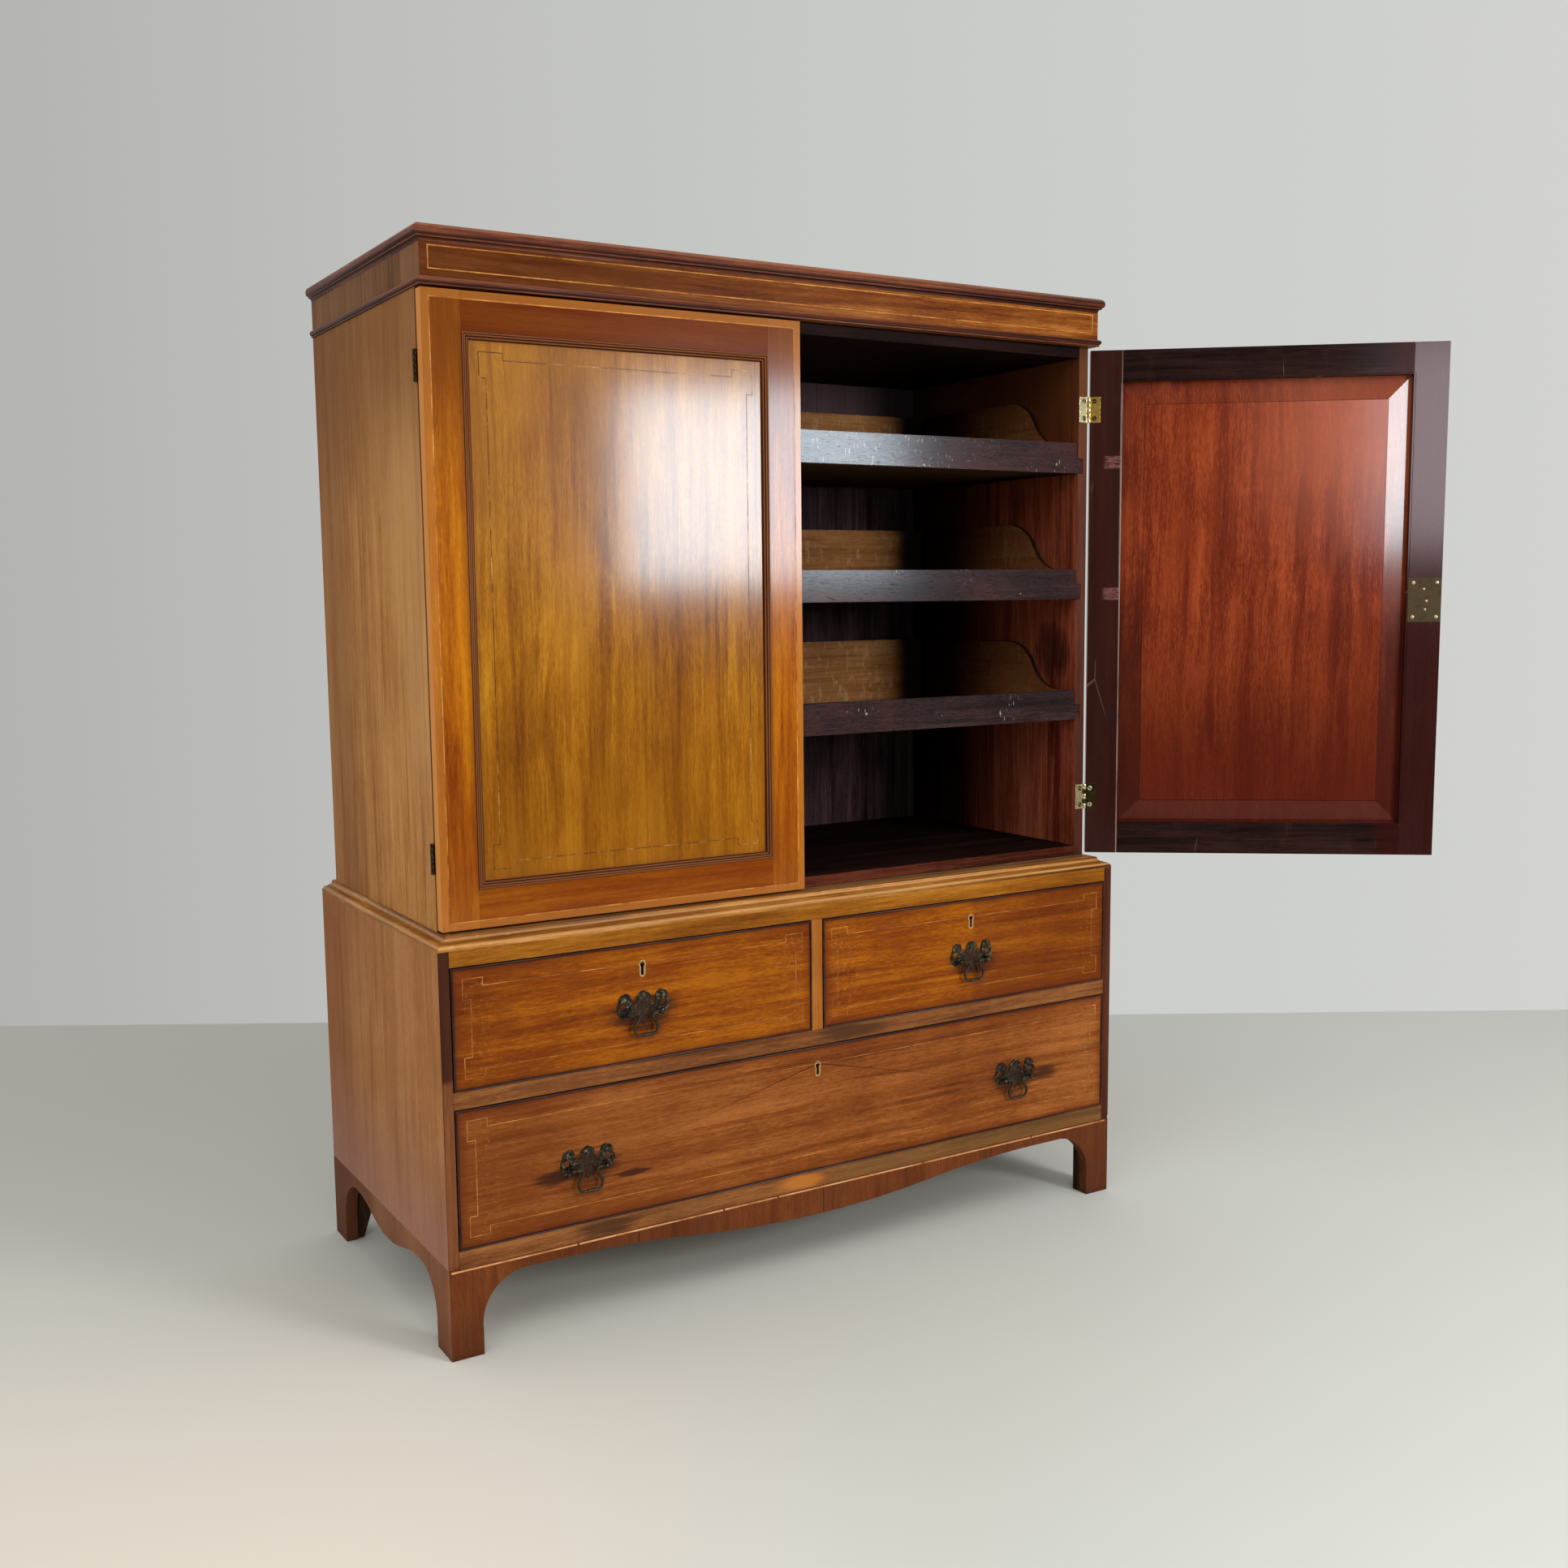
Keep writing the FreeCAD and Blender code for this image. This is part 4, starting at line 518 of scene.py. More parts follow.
# ---- finishes of the cases
def side_base(work, sign, tones, contrast):
    """Case side: faded outside, red-brown on its other faces, with painted shade high inside and on the
    front edges, and painted shadow that makes it nearly black towards the back.
    """
    wood = Wood(work, "z", seed=5.3 * sign, waver=0.02, stripe=24)
    patches = work.pattern(7, 4, 0.7).between(0.56, 0.8)
    outer = work.mix(patches * 0.4, wood.colour(tones, contrast, 0.45, 0.35), tones[2])
    inner = work.layers(
        wood.colour(((86, 32, 20), (144, 68, 46), (186, 106, 76)), 0.8, 0.3, 0.5),
        # painted shade high inside, painted shadow towards the back, painted shade on the front edges
        # beside the doors
        (work.z.between(1.3, 1.45) * 0.7, (16, 5, 5)),
        ((work.y + wood.blotches * 0.06).between(-0.04, 0.17) * 0.95, (12, 7, 6)),
        ((-work.face_y).mostly() * 0.85, (48, 27, 22)),
    )
    return wood, work.mix((work.face_x * sign).mostly(), inner, outer)


def cupboard_side_finish(sign):
    """Darker above, paler in front where hands have been, with an old stain inside on the right."""
    work = Finish("cupboard_side_polish")
    wood, colour = side_base(work, sign, ((140, 84, 36), (178, 122, 62), (206, 154, 92)), 0.6)
    outside = (work.face_x * sign).mostly()
    forward = (work.pattern(13, 2, 0.5, 0.8, z=0.22) - 0.5) * 0.25 - work.y
    at_hand = work.z.between(0.7, 0.95) * work.z.between(1.45, 1.25)
    colour = work.layers(
        colour,
        ((work.z + wood.blotches * 0.2).between(1.25, 1.6) * 0.6, (112, 66, 34)),
        (forward.between(0.03, 0.16) * at_hand * outside * 0.45, (214, 164, 106)),
        (forward.between(0.0, -0.18) * outside * 0.5, (122, 76, 46)),
    )
    if sign > 0:
        spilt = wood.stain(work.y, work.z, (-0.17, 1.0), (0.05, 0.06)) * (-work.face_x).mostly()
        colour = work.mix(spilt * 0.7, colour, (22, 13, 12))
    return work.polished(wood, colour, 0.34, 0.15)


def chest_side_finish(sign):
    """Bleached towards the floor, with a dark facing strip, worn pale low down on the left."""
    work = Finish("chest_side_polish")
    wood, colour = side_base(work, sign, ((134, 82, 42), (166, 110, 62), (192, 140, 92)), 0.4)
    bloom = work.pattern(5, 4, 0.65, 0.6).between(0.5, 0.72)
    soiled = work.pattern(4, 4, 0.6)
    facing_strip = work.ramp(wood.stripes, (0.3, (40, 15, 8)), (0.7, (84, 42, 24)))
    if sign < 0:
        pale = work.ramp(wood.lines, (0.3, (90, 50, 26)), (0.7, (132, 80, 46)))
        facing_strip = work.mix((work.z + wood.blotches * 0.03).between(0.432, 0.42), facing_strip, pale)
    colour = work.layers(
        colour,
        (work.y.between(0.0, 0.26) * 0.45, (120, 62, 36)),
        (bloom * work.z.between(0.5, 0.2) * 0.5, (164, 126, 118)),
        ((work.z + soiled * 0.1).between(0.42, 0.16) * 0.6, (150, 110, 104)),
        (work.y.between(CHEST_FRONT + 0.0022, CHEST_FRONT + 0.0016), facing_strip),
    )
    return work.polished(wood, colour, 0.34, 0.15)


def oak_box_finish(name, tones, rear_shadow):
    """Quartered oak with pale ray flecks; darker, redder sides, partly painted shade; faces that look up
    are darker; undersides carry painted shade, and the sides' rear and the backs' corners painted shadow.
    """
    work = Finish(name)
    wood = Wood(work, "x", seed=0.4, stripe=50)
    side_wood = Wood(work, "y", seed=1.4, stripe=50)
    on_side = work.face_x.size().mostly()
    rays = work.pattern(95, 2, 0.6, 0.8, z=0.35).between(0.57, 0.64)
    rearward = (work.y + wood.blotches * 0.05).between(-0.05, 0.16) * on_side
    in_corner = (work.x.size() + wood.blotches * 0.03).between(0.515, 0.565) * (1 - on_side)
    colour = work.layers(
        wood.colour(tones, 0.5, 0.4),
        (on_side, side_wood.colour(tones, 0.5, 0.4)),
        (rays * 0.3, (204, 168, 118)),
        # the sides: a redder tone, and painted shade
        (on_side * 0.5, (104, 44, 20)),
        # painted shadow at the rear of the sides and in the corners of the backs
        ((rearward | in_corner) * rear_shadow, (12, 8, 6)),
        (work.face_z.between(0.5, 0.8) * 0.75, (52, 34, 20)),
        # painted shade on the undersides
        (work.face_z.between(-0.5, -0.8) * 0.9, (24, 18, 13)),
    )
    return work.polished(wood, colour, 0.5, 0.05)


def back_finish(inside, outside):
    """Back boards: black with age inside, painted paler high up as if lit there, raw pine on the wall side.
    """
    work = Finish("back_boards")
    wood = Wood(work, "z", seed=2.0)
    # painted light: the boards are paler high up inside
    aged = work.mix(work.z.between(1.25, 1.45) * 0.6, wood.colour(inside, 1.0, 0.3), (104, 84, 88))
    colour = work.mix(work.face_y.between(-0.4, 0.0), aged, wood.colour(outside, 0.8, 0.3))
    return work.polished(wood, colour, 0.5, 0.05)


def inside_finish():
    """Cupboard floor and top: black with age, with a red-brown lipping in front."""
    work = Finish("cupboard_inside")
    wood = Wood(work, "x", seed=1.2)
    aged = wood.colour(((13, 7, 6), (26, 13, 11), (42, 23, 19)))
    lipping = wood.colour(((38, 13, 7), (64, 26, 14), (98, 48, 30)))
    in_front = (-work.face_y).mostly() * work.z.between(1.0, 0.9)
    return work.polished(wood, work.mix(in_front, aged, lipping), 0.4, 0.05)


def moulding_finish(name, tones, half_width, front, worn):
    """Moulding on three sides: the grain turns the corner with it; arrises facing up and forward are worn
    pale with a painted highlight, and faces that look down carry painted shade.
    """
    work = Finish(name)
    along_front = Wood(work, "x", seed=2.2)
    along_side = Wood(work, "y", seed=4.4)
    on_side = ((half_width - work.x.size()) - (work.y - front)).between(0.001, -0.001)
    rubbed = work.pattern(60, 4, 0.7).between(0.6, 0.78)
    arris = (work.face_z & (-work.face_y | work.face_x.size())).between(0.3, 0.62)
    colour = work.layers(
        along_front.colour(tones, 0.8, 0.2),
        (on_side, along_side.colour(tones, 0.8, 0.2)),
        (rubbed * 0.3, tones[2]),
        # worn arrises with a painted highlight, where the faces look up and forward
        (arris * (rubbed * 0.5 + 0.35), worn),
        # painted shade on faces that look down
        (work.face_z.between(-0.2, -0.7) * 0.7, (40, 20, 12)),
    )
    return work.polished(along_front, colour, 0.22, 0.4)


def frieze_finish():
    """Horizontal grain in front, upright on the sides."""
    work = Finish("frieze_polish")
    level = Wood(work, "x", seed=8.1)
    upright = Wood(work, "z", seed=1.1)
    on_side = work.face_x.size().mostly()
    colour = work.layers(
        level.colour(((84, 36, 10), (130, 72, 24), (174, 112, 52)), 0.9, 0.3),
        (work.x.between(0.3, -0.4) * 0.8, (78, 32, 6)),
        (on_side, upright.colour(((96, 58, 30), (126, 84, 50), (150, 108, 70)), 0.6, 0.2)),
    )
    return work.polished(level, colour, 0.14, 0.4 - on_side * 0.3)


# middle and reach of a stain, and its tone
RAIL_MARKS = (
    ((-0.385, 0.15), (0.06, 0.02), (62, 38, 24)),
    ((-0.037, 0.15), (0.05, 0.014), (184, 112, 44)),
    ((0.07, 0.388), (0.075, 0.012), (70, 42, 24)),
)


def rails_finish():
    """Front rails: golden above, brown with old stains between and below the drawers."""
    work = Finish("rails_polish")
    wood = Wood(work, "x", seed=6.6)
    soiled = work.pattern(16, 3, 0.55, x=0.35).between(0.56, 0.7) * work.z.between(0.5, 0.45)
    low_right = work.z.between(0.2, 0.18) * work.x.between(-0.02, 0.08)
    colour = work.layers(
        wood.colour(((98, 52, 8), (134, 78, 14), (174, 114, 34)), 0.7, 0.35),
        (work.z.between(0.55, 0.53), wood.colour(((80, 42, 18), (118, 70, 34), (154, 100, 52)), 0.8, 0.4)),
        (soiled * 0.4, (84, 52, 30)),
        (low_right * 0.5, (108, 80, 42)),
        *((wood.stain(work.x, work.z, centre, reach) * 0.8, tone) for centre, reach, tone in RAIL_MARKS),
    )
    return work.polished(wood, colour, 0.26, 0.15)


APRON_JOINTS = (-0.33, 0.009, 0.36)


def bracket_finish(name, tones, leaf_and_shade_tone):
    """Veneered apron and feet, with joints between the leaves, painted shade towards the back and the
    bottom, and the toes darkest by the floor.
    """
    work = Finish(name)
    wood = Wood(work, "z", seed=4.9, stripe=18)
    leaves = work.pattern(2, 0, x=3.1, y=3.1, z=0).between(0.42, 0.58)
    colour = work.layers(
        wood.colour(tones, 0.35, 0.4),
        (leaves * 0.3, leaf_and_shade_tone),
        # painted shade towards the back
        (work.y.between(0.0, 0.24) * 0.8, leaf_and_shade_tone),
        *(((work.x - x).size().between(0.0013, 0.0005) * 0.8, (40, 20, 12)) for x in APRON_JOINTS),
        # painted shade towards the bottom
        ((work.z + wood.blotches * 0.04).between(0.13, 0.05) * 0.45, leaf_and_shade_tone),
        ((work.z + wood.blotches * 0.02).between(0.03, 0.0) * 0.6, (52, 28, 18)),
    )
    return work.polished(wood, colour, 0.3, 0.12)


# ---- finishes of the drawers and trays
# dark oval behind each handle: grime, and painted shade that shows through the plates' piercings
HANDLE_GRIME_AND_SHADE = (0.056, 0.03)
STAINS_AND_HANDLE_SHADE = {drawer: [(centre, HANDLE_GRIME_AND_SHADE) for centre in places] for drawer, places in HANDLES.items()}
STAINS_AND_HANDLE_SHADE["long_drawer"] += [
    ((-0.465, 0.243), (0.034, 0.014)),
    ((-0.337, 0.228), (0.034, 0.006)),
    ((0.478, 0.25), (0.04, 0.018)),
]


def drawer_front_finish(drawer, tones):
    """Polished front with a dark border, rubbed corners, stains, and grime with painted shade behind the
    handles; bare wood on its other faces, with painted shade on the keyhole's walls.
    """
    work = Finish(drawer + "_front_polish")
    xs, zs = spans(drawer + "_front")
    middle = (xs[0] + xs[1]) / 2
    wood = Wood(work, "x", seed=xs[0] * 3 + 9, waver=0.02, stripe=30)
    rim = work.from_rim(xs, zs)
    soft = wood.blotches * 0.03
    at_ends = work.x.inward(xs).between(0.085, 0.05)
    rubbed = work.pattern(120, 5, 0.8).between(0.54, 0.7) * at_ends * rim.between(0.012, 0.028)
    front = work.layers(
        wood.colour(tones, 0.6, 0.5, 0.45),
        ((rim + soft).between(0.04, 0.014) * 0.7, (98, 38, 6)),
        ((rim + soft * 0.4).between(0.014, 0.003) * 0.8, (48, 20, 8)),
        (rubbed * 0.4, (208, 150, 88)),
        ((work.x - middle).between(0.0, xs[0]) * 0.35, (92, 40, 10)),
        # stains, and the grime and painted shade behind the handles
        *((wood.stain(work.x, work.z, *spot) * 0.8, (42, 19, 12)) for spot in STAINS_AND_HANDLE_SHADE[drawer]),
    )
    bare = wood.colour(((98, 58, 34), (136, 88, 54), (168, 118, 78)))
    # painted shade: the keyhole's walls are made nearly black
    in_keyhole = work.from_point(middle, zs[1] - KEY_DOWN).between(0.018, 0.014)
    bare = work.mix(in_keyhole, bare, (12, 8, 6))
    return work.polished(wood, work.mix(outside_of(work), bare, front), 0.22, 0.15)


def tray_front_finish():
    """Dull dark polish, scuffed by linen and by handling; the top tray is the shiniest, and pale scuffs are
    packed at its left where its sheen lies, partly a painted reflection.
    """
    work = Finish("tray_front_polish")
    wood = Wood(work, "x", seed=2.7)
    scratches = work.pattern(300, 1, 0.5, z=0.3).between(0.66, 0.7)
    handled_in_sheen = work.x.between(0.46, 0.2) * work.z.between(1.2, 1.3)
    scuffs_and_sheen = scratches * (work.pattern(12, 2, 0.5).between(0.58, 0.66) | (handled_in_sheen * 0.9))
    colour = work.layers(
        wood.colour(((24, 12, 12), (44, 26, 26), (70, 44, 42)), 0.7, 0.4, 0.5),
        (wood.blotches.between(0.5, 0.66) * 0.4, (72, 34, 26)),
        # pale scuffs, and at the top tray's left partly a painted reflection
        (scuffs_and_sheen * 0.75, (186, 170, 168)),
    )
    shinier_above = (work.z - 0.87) * 1.1 + 0.64
    return work.finished(
        colour,
        wood.fibre * 1.6 - wood.pores * 2.4 + wood.lines * 1.6 - scuffs_and_sheen * 3.0,
        0.3 * MM,
        Roughness=wood.lines * 0.25 + 0.4,
        Coat_Weight=shinier_above - wood.flecks * 0.45 - wood.lines * 0.35 - wood.pores * 0.6,
        Coat_Roughness=0.14,
        Specular_IOR_Level=0.1,
    )


def string_finish(name, tones):
    """Boxwood line under yellowed polish, darkened in places."""
    work = Finish(name)
    colour = work.ramp(work.pattern(22, 4, 0.7), *zip((0.34, 0.5, 0.7), tones))
    coating = {"Coat_Weight": 0.3, "Coat_Roughness": 0.15, "Specular_IOR_Level": 0.1}
    return work.finished(colour, work.pattern(800), 0.05 * MM, Roughness=0.4, **coating)


# ---- finishes of the metal
BRIGHT = (214, 176, 82)
PALE_BRASS = (226, 206, 156)
OLD = (62, 54, 32)


def hinge_finish(name, old_below, bright=BRIGHT):
    """Bright brass on the right side above the given level, browned elsewhere."""
    work = Finish(name)
    polished = work.x.between(-0.1, 0.1) * work.z.between(old_below - 0.02, old_below + 0.02)
    patches = work.pattern(90, 4, 0.6)
    colour = work.layers(OLD, (polished, bright), (patches.between(0.5, 0.75) * 0.45, (96, 74, 34)))
    return work.finished(colour, patches, 0.1 * MM, Metallic=0.9, Roughness=patches * 0.2 + 0.16)


def metal_finish(name, tone, dirt, rough, metallic=0.92, soil=0.4, relief=0.1 * MM):
    """Worn metal: dirt in patches and a broken gloss."""
    work = Finish(name)
    patches = work.pattern(90, 4, 0.6)
    fine = work.pattern(1400, 2, 0.6)
    soiled = patches.between(0.46, 0.72) * soil
    colour = work.mix(soiled, tone, dirt)
    gloss = {"Metallic": metallic - soiled * 0.3, "Roughness": rough + patches * 0.2 + fine * 0.06}
    return work.finished(colour, patches * 0.6 + fine, relief, **gloss)


def fittings_finish(drawer):
    """Dark handles with browner middles, and the bright keyhole liner in the same group."""
    work = Finish(drawer + "_fittings_metal")
    xs, zs = spans(drawer + "_front")
    patches = work.pattern(220, 4, 0.7)
    fine = work.pattern(1500, 2, 0.6)
    bronze = work.ramp(patches, (0.38, (20, 17, 13)), (0.55, (56, 48, 36)), (0.7, (150, 136, 100)))
    for x, z in HANDLES[drawer]:
        across = (work.x - x).size().between(0.022, 0.012)
        up = (work.z - (z - 0.004)).size().between(0.03, 0.02)
        bronze = work.mix(across * up * 0.7, bronze, (64, 40, 28))
    liner = work.from_point((xs[0] + xs[1]) / 2, zs[1] - KEY_DOWN).between(0.018, 0.016)
    liner = liner * work.y.between(CHEST_FRONT + 0.006, CHEST_FRONT + 0.005)
    pale = work.ramp(patches, (0.3, (150, 108, 62)), (0.7, (208, 170, 116)))
    colour = work.mix(liner, bronze, pale)
    gloss = {"Metallic": 0.85 - liner * 0.45, "Roughness": patches * 0.35 + 0.14}
    return work.finished(colour, patches * 1.2 + fine, 0.4 * MM, **gloss)


# ---- what is added to the scene
def add(name, data):
    made = bpy.data.objects.new(name, data)
    bpy.context.scene.collection.objects.link(made)
    return made


def add_mesh(name, mesh, material):
    data = bpy.data.meshes.new(name)
    mesh.to_mesh(data)
    mesh.free()
    data.materials.append(material)
    return add(name, data)


# ---- inlaid strings
def inset(ends, by):
    return ends[0] + by, ends[1] - by


def stepped_ring(xs, zs, out, arm):
    """Rectangle whose corners step outwards in a small square, as (x, z) points."""
    corners = ((xs[0], zs[0], -1, -1), (xs[1], zs[0], 1, -1), (xs[1], zs[1], 1, 1), (xs[0], zs[1], -1, 1))
    points = []
    for number, (x, z, sx, sz) in enumerate(corners):
        ox, oz = x + sx * out, z + sz * out
        ix, iz = ox - sx * arm, oz - sz * arm
        step = [(x, iz), (ox, iz), (ox, oz), (ix, oz), (ix, z)]
        points += step if number % 2 == 0 else step[::-1]
    return points


def plain_ring(xs, zs):
    return [(xs[0], zs[0]), (xs[1], zs[0]), (xs[1], zs[1]), (xs[0], zs[1])]


def string_ring(name, points, face_y, body, material, width=STRING_W, place=None):
    """Closed string let into a front face, as a thin mitred band."""
    mesh = bmesh.new()
    loops = []
    count = len(points)
    for number, point in enumerate(points):
        here = Vector(point)
        before = (here - Vector(points[number - 1])).normalized()
        after = (Vector(points[(number + 1) % count]) - here).normalized()
        mitre = Vector((-before.y - after.y, before.x + after.x)) * (width / 2)
        loop = []
        for side, depth in ((1, STRING_PROUD), (-1, STRING_PROUD), (-1, -STRING_DEPTH), (1, -STRING_DEPTH)):
            spot = here + mitre * side
            corner = Vector((spot.x, face_y - depth, spot.y))
            loop.append(mesh.verts.new(place(corner) if place else corner))
        loops.append(loop)
    for number, loop in enumerate(loops):
        ahead = loops[(number + 1) % count]
        for corner in range(4):
            following = (corner + 1) % 4
            mesh.faces.new((loop[corner], loop[following], ahead[following], ahead[corner]))
    finish_piece(mesh, name, body, material)


def finish_piece(mesh, name, body, material):
    bmesh.ops.recalc_face_normals(mesh, faces=mesh.faces)
    piece = add_mesh(name, mesh, material)
    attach(piece, body)


def make_door_strings(side, frame_string, panel_string):
    right = side == "right"
    place = as_open if right else None
    body = side + "_door"
    rim = plain_ring(inset(mirrored(DOOR_X, right), DOOR_STRING_IN), inset(DOOR_Z, DOOR_STRING_IN))
    string_ring(body + "_frame_string", rim, DOOR_FACE, body, frame_string, place=place)
    xs = inset(mirrored(OPENING_X, right), PANEL_STRING_IN)
    inner = stepped_ring(xs, inset(OPENING_Z, PANEL_STRING_IN), PANEL_CORNER_OUT, PANEL_CORNER_L)
    string_ring(body + "_panel_string", inner, PANEL_FACE, body, panel_string, PANEL_STRING_W, place)


def make_frieze_string(material):
    base = low("frieze")
    xs = inset((-CUPBOARD_HALF, CUPBOARD_HALF), FRIEZE_STRING_IN)
    ring = plain_ring(xs, (base.z + FRIEZE_STRING_LOW, base.z + FRIEZE_STRING_HIGH))
    string_ring("frieze_string", ring, base.y, "press", material)


def make_plinth_string(material):
    """String along the top of the apron. Pieces of it have broken out."""
    middle = PLINTH_TOP - PLINTH_STRING_DOWN
    zs = (middle - PLINTH_STRING_W / 2, middle + PLINTH_STRING_W / 2)
    start = PLINTH_STRING_IN - CHEST_HALF
    for number, share in enumerate(PLINTH_PIECES):
        end = start + share * (CHEST_HALF - PLINTH_STRING_IN) * 2
        ring = plain_ring((start, end - PLINTH_STRING_GAP), zs)
        string_ring("plinth_string_%d" % number, ring, CHEST_FRONT, "press", material, PLINTH_STRING_W)
        start = end


def make_drawer_string(drawer, material):
    xs, zs = spans(drawer + "_front")
    ring = stepped_ring(
        inset(xs, DRAWER_STRING_IN), inset(zs, DRAWER_STRING_IN), DRAWER_CORNER_OUT, DRAWER_CORNER_L
    )
    string_ring(drawer + "_string", ring, CHEST_FRONT, drawer, material, DRAWER_STRING_W)


def make_strings():
    string = string_finish("boxwood_string", ((122, 66, 14), (180, 114, 40), (212, 152, 74)))
    drawer_string = string_finish("drawer_string", ((106, 54, 14), (152, 88, 28), (202, 136, 62)))
    panel_string = string_finish("panel_string", ((64, 28, 6), (88, 46, 12), (206, 158, 84)))
    plinth_string = string_finish("plinth_string", ((150, 92, 50), (196, 136, 84), (224, 172, 118)))
    for side in ("left", "right"):
        make_door_strings(side, string, panel_string)
    make_frieze_string(string)
    make_plinth_string(plinth_string)
    for drawer in DRAWERS:
        make_drawer_string(drawer, drawer_string)


# ---- screws and rivets
def screw_head(name, centre, outward, radius, slot_angle, body, material, slotted=True):
    """Countersunk head: a low dome in two halves with the driver's slot between them."""
    mesh = bmesh.new()
    side = outward.orthogonal().normalized()
    up = outward.cross(side)
    gap = radius * HEAD_SLOT if slotted else 0.0
    turn = Matrix.Rotation(slot_angle, 3, outward)
    for half in (1, -1):
        rings = []
        for share, lift in HEAD_PROFILE:
            ring = []
            limit = math.asin(min(1.0, gap / (radius * share)))
            for step in range(HEAD_STEPS + 1):
                angle = limit + (math.pi - 2 * limit) * step / HEAD_STEPS
                across = side * math.cos(angle) + up * math.sin(angle) * half
                spot = centre + turn @ (across * radius * share) + outward * HEAD_RISE * lift
                ring.append(mesh.verts.new(spot))
            rings.append(ring)
        base = [mesh.verts.new(v.co - outward * HEAD_RISE * 1.2) for v in rings[0]]
        for outer, inner in zip([base] + rings, rings):
            for step in range(HEAD_STEPS):
                mesh.faces.new((outer[step], outer[step + 1], inner[step + 1], inner[step]))
        mesh.faces.new(rings[-1])
        mesh.faces.new(base)
        profile = [base] + rings
        mesh.faces.new([ring[0] for ring in profile] + [ring[-1] for ring in profile[::-1]])
    finish_piece(mesh, name, body, material)


def make_hinge_screws(side, sign, old, bright):
    leaves = side + "_door_hinge_leaves"
    x = sign * (HINGE.x - LEAF_SCREW_IN)
    case_y = low("cupboard_side_left").y
    for level, middle in (("low", low(leaves).z + LEAF_HALF), ("high", high(leaves).z - LEAF_HALF)):
        metal = old if level == "high" else bright
        for number, offset in enumerate((-LEAF_SCREW_OFF, LEAF_SCREW_OFF)):
            spot = Vector((x, DOOR_BACK, middle + offset))
            outward = BACKWARD
            if side == "right":
                spot = as_open(spot)
                outward = OPENED @ BACKWARD
            name = "%s_door_screw_%s_%d" % (side, level, number)
            screw_head(name, spot, outward, SCREW_R, number * 1.1 + middle, side + "_door", metal)
            spot = Vector((x, case_y, middle + offset))
            name = "%s_case_screw_%s_%d" % (side, level, number)
            screw_head(name, spot, FRONTWARD, SCREW_R, number * 0.7 + middle * 2, "press", old)


def make_lock_screws(metal):
    xs, zs = lock_spans()
    outward = OPENED @ BACKWARD
    columns = (xs[0] + LOCK_SCREW_FROM_BACK, xs[1] - LOCK_SCREW_IN)
    for number, (x, z) in enumerate((x, z) for x in columns for z in inset(zs, LOCK_SCREW_IN)):
        spot = as_open(Vector((x, DOOR_BACK, z)))
        screw_head("lock_screw_%d" % number, spot, outward, LOCK_SCREW_R, number * 0.9, "right_door", metal)
    for number, (x, z) in enumerate(RIVETS):
        spot = as_open(Vector((xs[0] + x, DOOR_BACK, sum(zs) / 2 + z)))
        screw_head("lock_rivet_%d" % number, spot, outward, RIVET_R, 0, "right_door", metal, slotted=False)


def make_screws():
    old = metal_finish("screw_metal", (58, 42, 22), (26, 19, 12), 0.34)
    bright = metal_finish("bright_pins", (214, 196, 150), (120, 104, 70), 0.18)
    for side, sign in SIDES:
        make_hinge_screws(side, sign, old, bright)
    make_lock_screws(bright)


# ---- dressing the nodes
METAL_NODES = ("hinge", "lock", "fittings", "bail", "bolt")


def dress(names, material):
    for name in [names] if isinstance(names, str) else names:
        data = nodes[name].data
        data.materials.clear()
        data.materials.append(material)


def dress_doors():
    for side in ("left", "right"):
        door = side + "_door"
        right = side == "right"
        dress(door + "_stiles", door_frame_finish(side + "_stile_polish", "z", right))
        dress(door + "_rails", door_frame_finish(side + "_rail_polish", "x", right))
        dress(door + "_panel", door_panel_finish(side + "_panel_polish", right))
        dress(door + "_hinge_leaves", hinge_finish(side + "_leaf_brass", 0.85))
        dress(door + "_beading", beading_finish(side + "_beading_polish", right))
    dress("right_door_lock", metal_finish("lock_brass", (80, 63, 42), (50, 40, 28), 0.34, soil=0.8))
    dress("carcase_hinges", hinge_finish("carcase_leaf_brass", 0.0, PALE_BRASS))


def dress_cupboard():
    for side, sign in SIDES:
        dress("cupboard_side_" + side, cupboard_side_finish(sign))
    dress("frieze", frieze_finish())
    dark = ((54, 24, 16), (98, 48, 30), (140, 78, 48))
    # the last colour is for the worn arrises and their painted highlight
    for name in ("astragal", "cornice"):
        dress(name, moulding_finish(name + "_polish", dark, CUPBOARD_HALF, DOOR_FACE, (176, 112, 72)))
    dress(("cupboard_top", "cupboard_floor"), inside_finish())
    dress("cupboard_back_boards", back_finish(((26, 17, 18), (56, 39, 42), (86, 64, 67)), RAW_PINE))


def dress_trays_and_boxes():
    oak = ((100, 62, 32), (148, 98, 56), (184, 136, 86))
    levels = ("lower", "middle", "upper")
    dress([level + "_tray_box" for level in levels], oak_box_finish("tray_oak", oak, 0.95))
    dress([drawer + "_box" for drawer in DRAWERS], oak_box_finish("drawer_oak", oak, 0.3))
    dress([level + "_tray_front" for level in levels], tray_front_finish())


